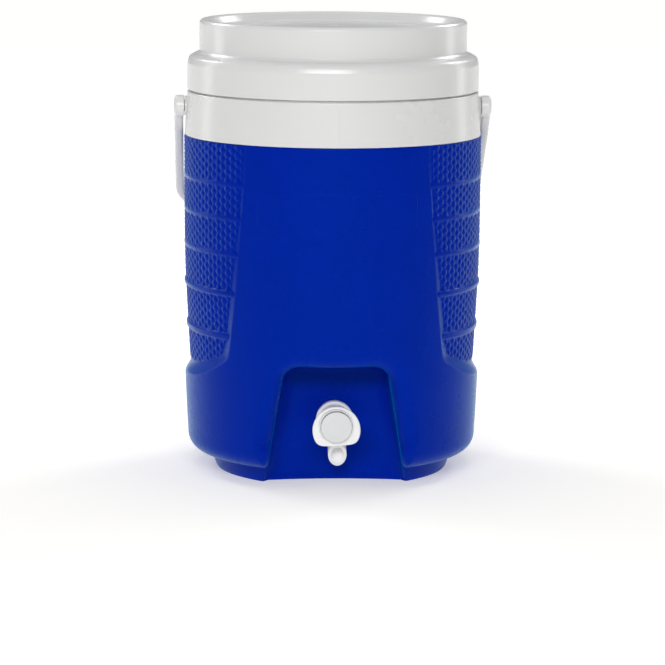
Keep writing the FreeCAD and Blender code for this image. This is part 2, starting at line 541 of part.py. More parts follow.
# Return spring: three turns of round wire between the housing's partition and the button, each half turn a
# flat arc tilted the other way from the last, so that the arcs join tangentially.
wire_rad, coil_rad, half_turns = 0.4, 8.2, 6
length = 108.4 - 0.15 - 100.6 - 0.15 - 2 * wire_rad
step = length / half_turns
arcs = []
for k in range(half_turns):
    side = 1.0 if k % 2 == 0 else -1.0
    start = V(side * coil_rad, 0, k * step)
    end = V(-side * coil_rad, 0, (k + 1) * step)
    disc = Part.Face(Part.Wire([Part.makeCircle(wire_rad, start, V(0, 1, 0))]))
    arcs.append(disc.revolve((start + end) * 0.5, V(side * step, 0, 2 * coil_rad), 180))
coil = arcs[0].multiFuse(arcs[1:])
if len(coil.Solids) != 1:
    raise RuntimeError("return_spring is not one solid")
coil = coil.Solids[0]
coil.Placement = FreeCAD.Placement(V(0, -(108.4 - 0.15 - wire_rad), D["spig_z"]), FreeCAD.Rotation(V(0, 0, 1), V(0, 1, 0)))
print("spring volume", round(coil.Volume, 2), "expected", round(math.pi * wire_rad ** 2 * half_turns * math.pi * math.hypot(coil_rad, step / 2), 2))
spring = doc.addObject("Part::Feature", "return_spring")
spring.Shape = coil
node("return_spring", spring)

node("outer_gasket", ring("outer_gasket", 11.35, 14.9, 68.0, 66.0, SZ))
node("inner_gasket", ring("inner_gasket", 11.1, 16.8, 55.7, 53.7, SZ))
node("slip_washer", ring("slip_washer", 11.15, 17.4, 53.7, 52.4, SZ))
# Lock nut: hexagon with a round skirt.
hexr = 17.6
hexagon = prism("nut_hexagon", "XZ_Plane", [[
    (hexr * math.cos(math.radians(60 * k)), D["spig_z"] + hexr * math.sin(math.radians(60 * k))) for k in range(6)]],
    6.2, offset=44.2)
nut_skirt = cyl("nut_skirt", 18.0, 2.0, (0, -52.4, SZ), "Y")
nut_bore = cyl("nut_bore", 11.05, 20.0, (0, -60.0, SZ), "Y")
node("lock_nut", cut("lock_nut", fuse("nut_fused", [hexagon, nut_skirt]), [nut_bore]))

# ------------------------------------------------------------------ checks and export
doc.recompute()
bad = []
for o in doc.Objects:
    if any(s in ("Invalid", "Error") for s in o.State):
        bad.append("%s is %s" % (o.Name, ",".join(o.State)))
for label, o in NODES.items():
    s = o.Shape
    if s.isNull() or not s.isValid() or s.Volume <= 0:
        bad.append("%s has no valid shape" % label)
if bad:
    raise RuntimeError("; ".join(bad))
os.makedirs("parts", exist_ok=True)
for label, o in NODES.items():
    s = o.Shape
    b = s.BoundBox
    print("%-16s solids %d vol %9.1f cm3*1e-3  x %.1f..%.1f y %.1f..%.1f z %.1f..%.1f" % (
        label, len(s.Solids), s.Volume / 1000.0, b.XMin, b.XMax, b.YMin, b.YMax, b.ZMin, b.ZMax))
    s.exportStep("parts/%s.step" % label)
print("tank volume to the lid, litres: %.2f" % (
    (tank_space.Shape.common(Part.makeBox(300, 300, 318.0, V(-150, -150, 0)))).Volume / 1e6))
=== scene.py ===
import math

import bpy
import numpy as np
from mathutils import Matrix, Vector


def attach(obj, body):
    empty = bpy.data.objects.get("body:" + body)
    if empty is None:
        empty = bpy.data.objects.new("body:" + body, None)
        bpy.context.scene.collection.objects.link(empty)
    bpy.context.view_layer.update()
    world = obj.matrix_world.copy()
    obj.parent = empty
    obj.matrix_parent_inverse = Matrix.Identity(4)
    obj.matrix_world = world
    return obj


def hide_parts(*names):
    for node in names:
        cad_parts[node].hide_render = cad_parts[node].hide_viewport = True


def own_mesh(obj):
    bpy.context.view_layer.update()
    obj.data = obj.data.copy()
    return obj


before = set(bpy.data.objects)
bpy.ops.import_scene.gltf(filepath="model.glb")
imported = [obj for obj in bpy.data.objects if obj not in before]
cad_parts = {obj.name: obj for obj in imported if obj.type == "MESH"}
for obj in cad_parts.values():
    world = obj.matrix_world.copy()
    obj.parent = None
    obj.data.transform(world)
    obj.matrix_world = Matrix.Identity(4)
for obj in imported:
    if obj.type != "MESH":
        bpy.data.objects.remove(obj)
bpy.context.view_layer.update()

# The looks of an insulated two-tier drinks cooler. Sizes below are millimetres, +Z up, spigot towards -Y.
MM = 0.001
scene = bpy.context.scene
rad = math.radians


# ------------------------------------------------------------------ mesh tools
class Mesh:
    """Points and faces gathered by index, in millimetres."""

    def __init__(self):
        self.v = []
        self.f = []

    def add(self, pts):
        base = len(self.v)
        self.v.extend([tuple(float(c) for c in p) for p in pts])
        return list(range(base, base + len(pts)))

    def strip(self, a, b, close=False, flip=False):
        n = len(a)
        for i in range(n if close else n - 1):
            j = (i + 1) % n
            q = (a[i], a[j], b[j], b[i])
            q = tuple(dict.fromkeys(q))
            if len(q) >= 3:
                self.f.append(q[::-1] if flip else q)

    def grid(self, rows, close=False, flip=False):
        for a, b in zip(rows[:-1], rows[1:]):
            self.strip(a, b, close, flip)

    def fan(self, ring, centre, close=True, flip=False):
        n = len(ring)
        for i in range(n if close else n - 1):
            t = (ring[i], ring[(i + 1) % n], centre)
            self.f.append(t[::-1] if flip else t)

    def make(self, name, material, sharp=None, weld=0.0, subsurf=0):
        me = bpy.data.meshes.new(name)
        pts = np.array(self.v, float) * MM
        me.from_pydata(pts.tolist(), [], self.f)
        me.validate()
        import bmesh
        bm = bmesh.new()
        bm.from_mesh(me)
        if weld:
            bmesh.ops.remove_doubles(bm, verts=bm.verts, dist=weld * MM)
        bmesh.ops.recalc_face_normals(bm, faces=bm.faces)
        bm.to_mesh(me)
        bm.free()
        me.polygons.foreach_set("use_smooth", [True] * len(me.polygons))
        if sharp is not None:
            me.set_sharp_from_angle(angle=rad(sharp))
        me.materials.append(material)
        ob = bpy.data.objects.new(name, me)
        scene.collection.objects.link(ob)
        if subsurf:
            m = ob.modifiers.new("smooth", "SUBSURF")
            m.levels = m.render_levels = subsurf
        return ob


def rounded(points, steps=6, support=0.45, longest=None, closed=False):
    """Dense polyline through (a, b) or (a, b, fillet) corners, with support points beside each fillet."""
    pts = [(p[0], p[1], p[2] if len(p) > 2 else 0.0) for p in points]
    n = len(pts)
    out = []
    for i, (a, b, r) in enumerate(pts):
        if r <= 0 or (not closed and i in (0, n - 1)):
            out.append((a, b))
            continue
        p0 = np.array(pts[(i - 1) % n][:2])
        p1 = np.array((a, b))
        p2 = np.array(pts[(i + 1) % n][:2])
        u = (p0 - p1) / np.linalg.norm(p0 - p1)
        w = (p2 - p1) / np.linalg.norm(p2 - p1)
        ang = math.acos(max(-1, min(1, float(u @ w))))
        if math.pi - ang < 0.02:
            out.append((a, b))
            continue
        t = r / math.tan(ang / 2)
        t = min(t, 0.49 * np.linalg.norm(p0 - p1), 0.49 * np.linalg.norm(p2 - p1))
        rr = t * math.tan(ang / 2)
        bis = (u + w) / np.linalg.norm(u + w)
        c = p1 + bis * (rr / math.sin(ang / 2))
        s, e = p1 + u * t, p1 + w * t
        a0 = math.atan2(*(s - c)[::-1])
        a1 = math.atan2(*(e - c)[::-1])
        d = (a1 - a0 + math.pi) % (2 * math.pi) - math.pi
        k = max(2, int(round(steps * abs(d) / (math.pi / 2))))
        for q in range(k + 1):
            th = a0 + d * q / k
            out.append((c[0] + rr * math.cos(th), c[1] + rr * math.sin(th)))
    res = []
    m = len(out)
    for i in range(m if closed else m - 1):
        p, q = np.array(out[i]), np.array(out[(i + 1) % m])
        length = float(np.linalg.norm(q - p))
        res.append(tuple(p))
        if length > 3.2 * support:
            cuts = [support / length, 1 - support / length]
            if longest and length > longest:
                k = int(math.ceil(length / longest))
                cuts = sorted(set(cuts + [j / k for j in range(1, k)]))
            for c in cuts:
                res.append(tuple(p + (q - p) * c))
    if not closed:
        res.append(out[-1])
    return res


def lathe(mesh, profile, n, axis="Z", centre=(0, 0, 0), turn=0.0, wrap=False, angles=None, bend=None):
    """Closed form of revolution. The profile runs pole to pole, or is a loop when wrap is set."""
    th = angles if angles is not None else [turn + 2 * math.pi * i / n for i in range(n)]
    rings = []
    for r, h in profile:
        if r < 1e-6:
            pts = [(0.0, 0.0, h)]
        else:
            pts = [(r * math.sin(t), -r * math.cos(t), h) for t in th]
        if bend:
            pts = [bend(p) for p in pts]
        if axis == "Y":      # height along +Y, circle in X and Z
            pts = [(x, z, y) for x, y, z in pts]
        elif axis == "X":
            pts = [(z, x, y) for x, y, z in pts]
        pts = [(x + centre[0], y + centre[1], z + centre[2]) for x, y, z in pts]
        rings.append(mesh.add(pts))
    pairs = list(zip(rings[:-1], rings[1:]))
    if wrap:
        pairs.append((rings[-1], rings[0]))
    for a, b in pairs:
        if len(a) == 1 and len(b) == 1:
            continue
        if len(a) == 1:
            mesh.fan(b, a[0])
        elif len(b) == 1:
            mesh.fan(a, b[0])
        else:
            mesh.strip(a, b, close=True)
    return rings


def smoothstep(a, b, x):
    t = np.clip((np.asarray(x, float) - a) / (b - a), 0, 1)
    return t * t * (3 - 2 * t)


def resample(poly, n):
    p = np.asarray(poly, float)
    d = np.r_[0, np.cumsum(np.linalg.norm(np.diff(p, axis=0), axis=1))]
    t = np.linspace(0, d[-1], n)
    return np.c_[tuple(np.interp(t, d, p[:, k]) for k in range(p.shape[1]))]


def coons(left, right, top, bottom):
    """Grid points [row][column] from four sides. left and right run top to bottom, top and bottom left to right."""
    left, right, top, bottom = (np.asarray(a, float) for a in (left, right, top, bottom))
    n, m = len(left), len(top)
    v = np.linspace(0, 1, n)[:, None, None]
    u = np.linspace(0, 1, m)[None, :, None]
    return ((1 - u) * left[:, None] + u * right[:, None] + (1 - v) * top[None] + v * bottom[None]
            - (1 - u) * (1 - v) * top[0] - u * (1 - v) * top[-1] - (1 - u) * v * bottom[0] - u * v * bottom[-1])


# ------------------------------------------------------------------ materials
def plastic(name, colour, rough, grain=0.0, grain_size=0.6, wave=0.0, vary=0.05, rough_vary=0.06, specular=0.5,
            coat=0.0, scuff=0.25, metallic=0.0, sheen=0.0, tint=None, subsurface=0.0, spec_tint=(1.0, 1.0, 1.0),
            sheen_tint=(1.0, 1.0, 1.0)):
    """Moulded plastic or rubber: uneven pigment, moulding grain, faint sink waves and rubbed edges."""
    m = bpy.data.materials.new(name)
    m.use_nodes = True
    nt = m.node_tree
    nt.nodes.clear()
    new = nt.nodes.new
    link = nt.links.new
    out = new("ShaderNodeOutputMaterial")
    b = new("ShaderNodeBsdfPrincipled")
    link(b.outputs[0], out.inputs[0])
    co = new("ShaderNodeTexCoord")
    c = np.array(colour)
    # pigment
    n1 = new("ShaderNodeTexNoise")
    n1.inputs["Scale"].default_value = 38.0
    n1.inputs["Detail"].default_value = 5.0
    n1.inputs["Roughness"].default_value = 0.6
    link(co.outputs["Object"], n1.inputs["Vector"])
    ramp = new("ShaderNodeValToRGB")
    lo, hi = c * (1 - vary), np.minimum(c * (1 + vary), 1.0)
    if tint is not None:
        hi = np.array(tint)
    ramp.color_ramp.elements[0].position = 0.32
    ramp.color_ramp.elements[0].color = (*lo, 1)
    ramp.color_ramp.elements[1].position = 0.68
    ramp.color_ramp.elements[1].color = (*hi, 1)
    link(n1.outputs["Fac"], ramp.inputs["Fac"])
    # rubbed edges, from how sharply the surface turns
    geo = new("ShaderNodeNewGeometry")
    edge = new("ShaderNodeMapRange")
    edge.inputs["From Min"].default_value = 0.515
    edge.inputs["From Max"].default_value = 0.62
    edge.inputs["To Min"].default_value = 0.0
    edge.inputs["To Max"].default_value = scuff
    link(geo.outputs["Pointiness"], edge.inputs["Value"])
    n2 = new("ShaderNodeTexNoise")
    n2.inputs["Scale"].default_value = 240.0
    n2.inputs["Detail"].default_value = 4.0
    link(co.outputs["Object"], n2.inputs["Vector"])
    worn = new("ShaderNodeMath")
    worn.operation = "MULTIPLY"
    link(edge.outputs["Result"], worn.inputs[0])
    link(n2.outputs["Fac"], worn.inputs[1])
    mix = new("ShaderNodeMix")
    mix.data_type = "RGBA"
    pale = np.minimum(c * 1.25 + 0.02, 1.0)
    link(worn.outputs[0], mix.inputs["Factor"])
    link(ramp.outputs["Color"], mix.inputs["A"])
    mix.inputs["B"].default_value = (*pale, 1)
    link(mix.outputs["Result"], b.inputs["Base Color"])
    # gloss that varies with handling
    n3 = new("ShaderNodeTexNoise")
    n3.inputs["Scale"].default_value = 17.0
    n3.inputs["Detail"].default_value = 7.0
    n3.inputs["Roughness"].default_value = 0.65
    link(co.outputs["Object"], n3.inputs["Vector"])
    mr = new("ShaderNodeMapRange")
    mr.inputs["From Min"].default_value = 0.3
    mr.inputs["From Max"].default_value = 0.7
    mr.inputs["To Min"].default_value = max(rough - rough_vary, 0.03)
    mr.inputs["To Max"].default_value = min(rough + rough_vary, 1.0)
    link(n3.outputs["Fac"], mr.inputs["Value"])
    link(mr.outputs["Result"], b.inputs["Roughness"])
    # grain and sink waves
    last = None
    if wave > 0:
        n4 = new("ShaderNodeTexNoise")
        n4.inputs["Scale"].default_value = 22.0
        n4.inputs["Detail"].default_value = 1.5
        link(co.outputs["Object"], n4.inputs["Vector"])
        bw = new("ShaderNodeBump")
        bw.inputs["Strength"].default_value = 1.0
        bw.inputs["Distance"].default_value = wave * MM
        link(n4.outputs["Fac"], bw.inputs["Height"])
        last = bw
    if grain > 0:
        n5 = new("ShaderNodeTexNoise")
        n5.inputs["Scale"].default_value = 1000.0 / grain_size
        n5.inputs["Detail"].default_value = 3.0
        n5.inputs["Roughness"].default_value = 0.55
        link(co.outputs["Object"], n5.inputs["Vector"])
        bg = new("ShaderNodeBump")
        bg.inputs["Strength"].default_value = 1.0
        bg.inputs["Distance"].default_value = grain * MM
        link(n5.outputs["Fac"], bg.inputs["Height"])
        if last:
            link(last.outputs["Normal"], bg.inputs["Normal"])
        last = bg
    if last:
        link(last.outputs["Normal"], b.inputs["Normal"])
    b.inputs["Metallic"].default_value = metallic
    b.inputs["Specular IOR Level"].default_value = specular
    b.inputs["Specular Tint"].default_value = (*spec_tint, 1)
    b.inputs["Coat Weight"].default_value = coat
    b.inputs["Coat Roughness"].default_value = 0.12
    b.inputs["Sheen Weight"].default_value = sheen
    b.inputs["Sheen Roughness"].default_value = 0.4
    b.inputs["Sheen Tint"].default_value = (*sheen_tint, 1)
    if subsurface:
        b.inputs["Subsurface Weight"].default_value = subsurface
        b.inputs["Subsurface Radius"].default_value = (0.003, 0.003, 0.003)
        b.inputs["Subsurface Scale"].default_value = 1.0
    m.diffuse_color = (*c, 1)
    return m


blue = plastic("shell_blue", (0.0004, 0.0140, 0.325), 0.27, grain=0.030, grain_size=1.0, wave=0.03, vary=0.04,
               specular=0.07, scuff=0.12, spec_tint=(0.12, 0.9, 1.0), sheen=0.33, sheen_tint=(0.0, 0.39, 0.62))
white = plastic("liner_white", (0.72, 0.72, 0.725), 0.27, grain=0.0015, grain_size=2.5, wave=0.02, vary=0.003, rough_vary=0.012, specular=0.5,
                scuff=0.0)
lid_white = plastic("lid_white", (0.72, 0.72, 0.725), 0.23, grain=0.0015, grain_size=2.5, wave=0.04, vary=0.006, rough_vary=0.03,
                    specular=0.5, scuff=0.1)
inner_white = plastic("lid_inner_white", (0.69, 0.69, 0.70), 0.3, grain=0.006, wave=0.06, vary=0.015, scuff=0.1)
handle_white = plastic("handle_white", (0.73, 0.73, 0.735), 0.28, grain=0.0015, grain_size=2.5, wave=0.015, vary=0.003, rough_vary=0.012, scuff=0.06)
spigot_white = plastic("spigot_white", (0.89, 0.89, 0.89), 0.22, grain=0.003, wave=0.01, vary=0.01, scuff=0.1)
button_grey = plastic("button_grey", (0.72, 0.73, 0.735), 0.34, grain=0.008, grain_size=0.4, vary=0.015, scuff=0.2)
plug_blue = plastic("plug_blue", (0.0005, 0.013, 0.30), 0.40, grain=0.02, grain_size=0.7, vary=0.06, specular=0.2,
                    spec_tint=(0.12, 0.9, 1.0))
rubber = plastic("seal_rubber", (0.42, 0.43, 0.44), 0.62, grain=0.02, grain_size=0.5, vary=0.05, specular=0.35)
foam = plastic("foam", (0.70, 0.58, 0.30), 0.85, grain=0.35, grain_size=1.6, vary=0.12, specular=0.2,
               tint=(0.78, 0.68, 0.40))
steel = plastic("spring_steel", (0.52, 0.52, 0.54), 0.24, grain=0.01, grain_size=0.25, vary=0.04, metallic=1.0, scuff=0.1)
by_slot = {"shell_blue": blue, "liner_white": white, "lid_white": lid_white, "lid_inner_white": inner_white,
           "handle_white": handle_white, "spigot_white": spigot_white, "button_grey": button_grey,
           "plug_blue": plug_blue, "seal_rubber": rubber, "foam": foam, "spring_steel": steel}
node_slot = {
    "body_foam": "foam", "lid_foam": "foam", "foam_fill_plug": "plug_blue", "lid_liner": "lid_inner_white",
    "lid_seal": "seal_rubber", "valve_stem": "spigot_white", "valve_seal": "seal_rubber", "stem_o_ring": "seal_rubber",
    "return_spring": "spring_steel", "outer_gasket": "seal_rubber", "inner_gasket": "seal_rubber",
    "slip_washer": "spigot_white", "lock_nut": "spigot_white"}
for node, slot_name in node_slot.items():
    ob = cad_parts[node]
    ob.data.materials.clear()
    ob.data.materials.append(by_slot[slot_name])

# ------------------------------------------------------------------ shell profile
# Outer section of the shell, from the seam under the collar down round the hem to the foot.
corners = [(120.55, 274.8), (121.0, 274.3)]
for z, r in ((262, 121.1), (240, 121.2), (175, 121.22), (110, 121.2), (75.7, 120.9), (60.5, 120.2), (45.2, 119.5)):
    corners.append((r, z))
a0, a1 = rad(-6.0), rad(76.0)
arc_c = (118.6 - 14.6 * math.cos(a0), 29.9)
for k in range(13):
    a = a0 + (a1 - a0) * k / 12
    corners.append((arc_c[0] + 14.6 * math.cos(a), arc_c[1] - 14.6 * math.sin(a) - 14.6 * math.sin(-a0)))
hem_end = corners[-1]
corners += [(101.8, 13.4), (100.6, 13.0), (99.75, 12.2), (99.2, 11.0), (95.35, 1.0), (95.1, 0.35), (94.6, 0.0)]
prof = np.array(corners, float)
prof_d = np.r_[0, np.cumsum(np.linalg.norm(np.diff(prof, axis=0), axis=1))]
S = np.arange(0, prof_d[-1], 0.25)
S = np.r_[S, prof_d[-1]]
PR, PZ = np.interp(S, prof_d, prof[:, 0]), np.interp(S, prof_d, prof[:, 1])


def soften(a, keep_head, keep_tail, half):
    out = a.copy()
    ker = np.ones(2 * half + 1) / (2 * half + 1)
    sm = np.convolve(np.pad(a, half, mode="edge"), ker, mode="valid")
    w = np.ones(len(a))
    w[:keep_head] = 0
    w[len(a) - keep_tail:] = 0
    ramp = 2 * half
    for i in range(ramp):
        w[keep_head + i] *= i / ramp
        w[len(a) - keep_tail - 1 - i] *= i / ramp
    return out * (1 - w) + sm * w


for _ in range(2):
    PR = soften(PR, 8, 74, 10)
    PZ = soften(PZ, 8, 74, 10)
S_END = float(S[-1])
dR, dZ = np.gradient(PR, S), np.gradient(PZ, S)
nl = np.hypot(dR, dZ)
NR, NZ = -dZ / nl, dR / nl


def s_at(z):
    """Arc length at a height, on the side wall."""
    return float(np.interp(-z, -PZ[:-4], S[:-4]))


def r_at(s):
    return np.interp(s, S, PR)


def z_at(s):
    return np.interp(s, S, PZ)


def surf(phi, s):
    """Point on the smooth shell; phi is degrees from the front, towards +X."""
    r, z = r_at(s), z_at(s)
    return np.array([r * math.sin(rad(phi)), -r * math.cos(rad(phi)), z])


A_Z = np.array([274.8, 140.0, 113.0, 90.0, 70.0, 45.0, 30.0, 17.0, 14.0])
A_P = np.array([31.0, 32.5, 34.0, 35.0, 36.0, 37.0, 38.0, 40.0, 41.5])


def phi_a(s):
    """Where the front zone ends and the side blocks begin."""
    hem = float(np.interp(s, [s_at(16.0), S_END - 15.0, S_END], [0, 1, 2]))
    base = float(np.interp(-float(z_at(min(s, s_at(16.0)))), -A_Z, A_P))
    return base + (5.5 * min(hem, 1.0) + 4.5 * max(hem - 1.0, 0.0))


# ------------------------------------------------------------------ grip panel borders, degrees from the front and height
OUT_SIDE = [(36.7, 274.3), (36.5, 274.1), (36.42, 273.2), (36.4, 266.5), (36.4, 260), (37.1, 244), (37.8, 234), (38.4, 218),
            (39.9, 184), (41.4, 151), (42.45, 137), (43.6, 118), (44.4, 108.0), (44.8, 103.5)]
OUT_LOW = [(45.4, 100.6), (46.7, 98.0), (48.8, 95.6), (51.5, 93.4), (55.1, 90.0), (59.1, 86.9), (62.0, 85.0), (68.6, 81.5),
           (75.8, 79.3), (82.5, 78.3), (90.0, 78.0)]
IN_SIDE = [(38.5, 274.15), (38.3, 274.0), (38.22, 273.1), (38.2, 265.5), (38.2, 260), (38.7, 244), (39.2, 234), (39.8, 218),
           (42.4, 184), (45.25, 150), (46.75, 136), (47.9, 120), (49.6, 109.5), (50.8, 105.3)]
IN_LOW = [(52.0, 103.2), (53.6, 101.4), (56.0, 99.6), (58.7, 97.8), (63.2, 95.2), (68.6, 92.9), (76.1, 90.9), (82.5, 90.2),
          (90.0, 90.0)]
# the bump field carries on past the seam, so that it isn't faded out along the top
MASK_SIDE = [(38.3, 279.0), (38.25, 278.5), (38.2, 277.0)] + IN_SIDE[3:]
RIB_SIDE = [(36.5, 279.0), (36.45, 278.5), (36.4, 277.0)] + OUT_SIDE[3:]
UM = 121.0 * math.pi / 180.0      # millimetres per degree on the shell


def full_border(side, low):
    """Left, bottom and right runs of a closed border, mirrored about 90 degrees, in mm along the wall and height."""
    def mm(pts):
        return [((p - 90.0) * UM, z) for p, z in pts]

    def soft(pts, rounds=2):
        for _ in range(rounds):
            q = [pts[0]]
            for a, b in zip(pts[:-1], pts[1:]):
                q.append(tuple(0.75 * np.array(a) + 0.25 * np.array(b)))
                q.append(tuple(0.25 * np.array(a) + 0.75 * np.array(b)))
            q.append(pts[-1])
            pts = q
        return pts
    half = soft([(0.0, side[0][1])] + mm(side) + mm(low), 3)
    half = np.array(half)
    # split at the two corners: the points nearest to the corner directions
    top_i = int(np.argmin(np.hypot(half[:, 0] - mm([side[1]])[0][0], half[:, 1] - side[1][1])))
    low_c = mm([low[0]])[0]
    low_i = int(np.argmin(np.hypot(half[:, 0] - low_c[0], half[:, 1] - low_c[1])))
    top_half, left, low_half = half[:top_i + 1], half[top_i:low_i + 1], half[low_i:]
    flip = np.array([-1.0, 1.0])
    top = np.vstack([top_half[::-1], (top_half * flip)[1:]])
    bottom = np.vstack([low_half, (low_half * flip)[::-1][1:]])
    return left, bottom, left * flip, top


def border_distance(px, pz, side, low):
    """Signed distance in mm to a panel border, positive inside."""
    left, bottom, right, top = full_border(side, low)
    loop = np.vstack([left, bottom[1:], right[::-1][1:], top[::-1][1:-1]])
    a = loop
    b = np.roll(loop, -1, axis=0)
    px, pz = np.asarray(px, float).ravel(), np.asarray(pz, float).ravel()
    best = np.full(len(px), 1e9)
    inside = np.zeros(len(px), bool)
    for (ax, az), (bx, bz) in zip(a, b):
        ex, ez = bx - ax, bz - az
        l2 = ex * ex + ez * ez
        if l2 < 1e-12:
            continue
        t = np.clip(((px - ax) * ex + (pz - az) * ez) / l2, 0, 1)
        d = np.hypot(px - ax - t * ex, pz - az - t * ez)
        best = np.minimum(best, d)
        cond = (az > pz) != (bz > pz)
        with np.errstate(divide="ignore", invalid="ignore"):
            xi = ax + (pz - az) * ex / (bz - az if abs(bz - az) > 1e-12 else 1e-12)
        inside ^= cond & (px < xi)
    return np.where(inside, best, -best)


BASE_Z = np.array([78.0, 91.0, 101.0, 136.0, 166.0, 196.0, 245.0, 274.0])
BASE_R = np.array([115.0, 115.9, 116.5, 118.4, 119.85, 120.4, 120.5, 120.55])


def base_r(z):
    return np.interp(z, BASE_Z, BASE_R)


# ------------------------------------------------------------------ shell skin
shell = Mesh()
N_FRONT, N_SIDE_COLS, N_BACK = 40, 56, 40
z_rows = [274.8, 274.62, 274.3, 273.6] + list(np.linspace(272.6, 113.0, 50)) + list(np.linspace(110.0, 70.0, 14))
s_rows = [0.0, 0.3] + [s_at(z) for z in z_rows[2:]]
I113 = z_rows.index(113.0)
low_s = list(np.linspace(s_rows[-1], s_at(31.0), 15)[1:]) + list(np.linspace(s_at(31.0), s_at(15.2), 12)[1:])
low_s += list(np.linspace(low_s[-1], S_END, 18)[1:])
s_all = s_rows + low_s
N_UP = len(s_rows)

# lines at the front zone's sides, and their mirror images at the back: A right front, B right back, C left back, D left front
lines = {}
for key, sign, back in (("A", 1, False), ("B", 1, True), ("C", -1, True), ("D", -1, False)):
    pts = []
    for s in s_all:
        p = phi_a(s)
        pts.append(surf(sign * (180.0 - p if back else p), s))
    lines[key] = shell.add(pts)


def span(row_s, i, pa, pb, first, last, n):
    """One row of a plain block between two shared line vertices."""
    mid = [surf(pa + (pb - pa) * k / n, row_s) for k in range(1, n)]
    return [first] + shell.add(mid) + [last]


# front zone, above the niche
front_rows = []
for i in range(I113 + 1):
    p = phi_a(s_all[i])
    front_rows.append(span(s_all[i], i, -p, p, lines["D"][i], lines["A"][i], N_FRONT))
shell.grid(front_rows)
# back zone, full height
back_rows = []
for i, s in enumerate(s_all):
    p = phi_a(s)
    back_rows.append(span(s, i, 180.0 - p, 180.0 + p, lines["B"][i], lines["C"][i], N_BACK))
shell.grid(back_rows)
# side blocks: top row, bottom row of the panel block, then plain rows to the foot
side_top, side_low = {}, {}
for key, sign, la, lb in (("R", 1, "A", "B"), ("L", -1, "D", "C")):
    p0, pn = phi_a(s_all[0]), phi_a(s_rows[-1])
    side_top[key] = span(s_all[0], 0, sign * p0, sign * (180 - p0), lines[la][0], lines[lb][0], N_SIDE_COLS)
    rows = []
    for i in range(N_UP - 1, len(s_all)):
        p = phi_a(s_all[i])
        rows.append(span(s_all[i], i, sign * p, sign * (180 - p), lines[la][i], lines[lb][i], N_SIDE_COLS))
    side_low[key] = rows
    shell.grid(rows)

    # the panel block, as rings from its boundary to the recessed floor
    left_idx = lines[la][:N_UP]
    right_idx = lines[lb][:N_UP]
    ring0 = left_idx + rows[0][1:-1] + right_idx[::-1] + side_top[key][1:-1][::-1]
    b_phi, b_z = [], []
    for i in range(N_UP):
        b_phi.append(phi_a(s_all[i])); b_z.append(float(z_at(s_all[i])))
    for k in range(1, N_SIDE_COLS):
        b_phi.append(pn + (180 - 2 * pn) * k / N_SIDE_COLS); b_z.append(float(z_at(s_rows[-1])))
    for i in range(N_UP)[::-1]:
        b_phi.append(180 - phi_a(s_all[i])); b_z.append(float(z_at(s_all[i])))
    for k in range(1, N_SIDE_COLS)[::-1]:
        b_phi.append(p0 + (180 - 2 * p0) * k / N_SIDE_COLS); b_z.append(float(z_at(s_all[0])))
    outer = np.c_[(np.array(b_phi) - 90.0) * UM, np.array(b_z)]

    def loop_of(side, low):
        left, bottom, right, top = full_border(side, low)
        l = resample(left, N_UP)
        b = resample(bottom, N_SIDE_COLS + 1)
        r = resample(right, N_UP)
        t = resample(top, N_SIDE_COLS + 1)
        return np.vstack([l, b[1:-1], r[::-1], t[1:-1][::-1]])

    lo_out = loop_of(OUT_SIDE, OUT_LOW)
    lo_in = loop_of(IN_SIDE, IN_LOW)

    def place(pts, radius):
        res = []
        for (u, z), r in zip(pts, radius):
            a = rad(u / UM + 90.0)
            res.append((sign * r * math.sin(a), -r * math.cos(a), z))
        return shell.add(res)

    def smooth_r(pts):
        return np.array([float(np.interp(-z, -PZ[:-4], PR[:-4])) if z < 274.0 else float(r_at(0.8)) for _, z in pts])

    rings = [ring0]
    for t in (0.35, 0.65, 0.85, 0.95):
        pts = outer * (1 - t) + lo_out * t
        pts[:, 1] = np.minimum(pts[:, 1], 274.7)
        rings.append(place(pts, smooth_r(pts)))
    for w, fall in ((0.0, 0.0), (0.05, 0.012), (0.11, 0.05), (0.19, 0.12), (0.29, 0.23), (0.42, 0.40), (0.56, 0.58),
                    (0.70, 0.75), (0.82, 0.87), (0.92, 0.955), (1.0, 1.0)):
        pts = lo_out * (1 - w) + lo_in * w
        rs = smooth_r(pts)
        floor = base_r(pts[:, 1])
        rings.append(place(pts, rs + (floor - rs) * fall))
    cen = np.array([0.0, 180.0])
    shrink = lo_in + (cen - lo_in) / np.linalg.norm(cen - lo_in, axis=1)[:, None] * 1.6
    fl = base_r(shrink[:, 1]) - 1.3
    rings.append(place(shrink, fl))
    shell.grid(rings, close=True)
    n_l, n_b = N_UP, N_SIDE_COLS
    g = coons(shrink[:n_l], shrink[n_l + n_b - 1:2 * n_l + n_b - 1][::-1],
              np.vstack([shrink[:1], shrink[2 * n_l + n_b - 1:][::-1], shrink[2 * n_l + n_b - 2:2 * n_l + n_b - 1]]),
              shrink[n_l - 1:n_l + n_b])
    last = rings[-1]
    grid_idx = []
    for i in range(n_l):
        row = []
        for j in range(n_b + 1):
            if j == 0:
                row.append(last[i])
            elif j == n_b:
                row.append(last[2 * n_l + n_b - 2 - i])
            elif i == 0:
                row.append(last[len(last) - j])
            elif i == n_l - 1:
                row.append(last[n_l - 1 + j])
            else:
                u, z = g[i, j]
                a = rad(u / UM + 90.0)
                r = float(base_r(z)) - 1.3
                row.append(shell.add([(sign * r * math.sin(a), -r * math.cos(a), z)])[0])
        grid_idx.append(row)
    shell.grid(grid_idx)

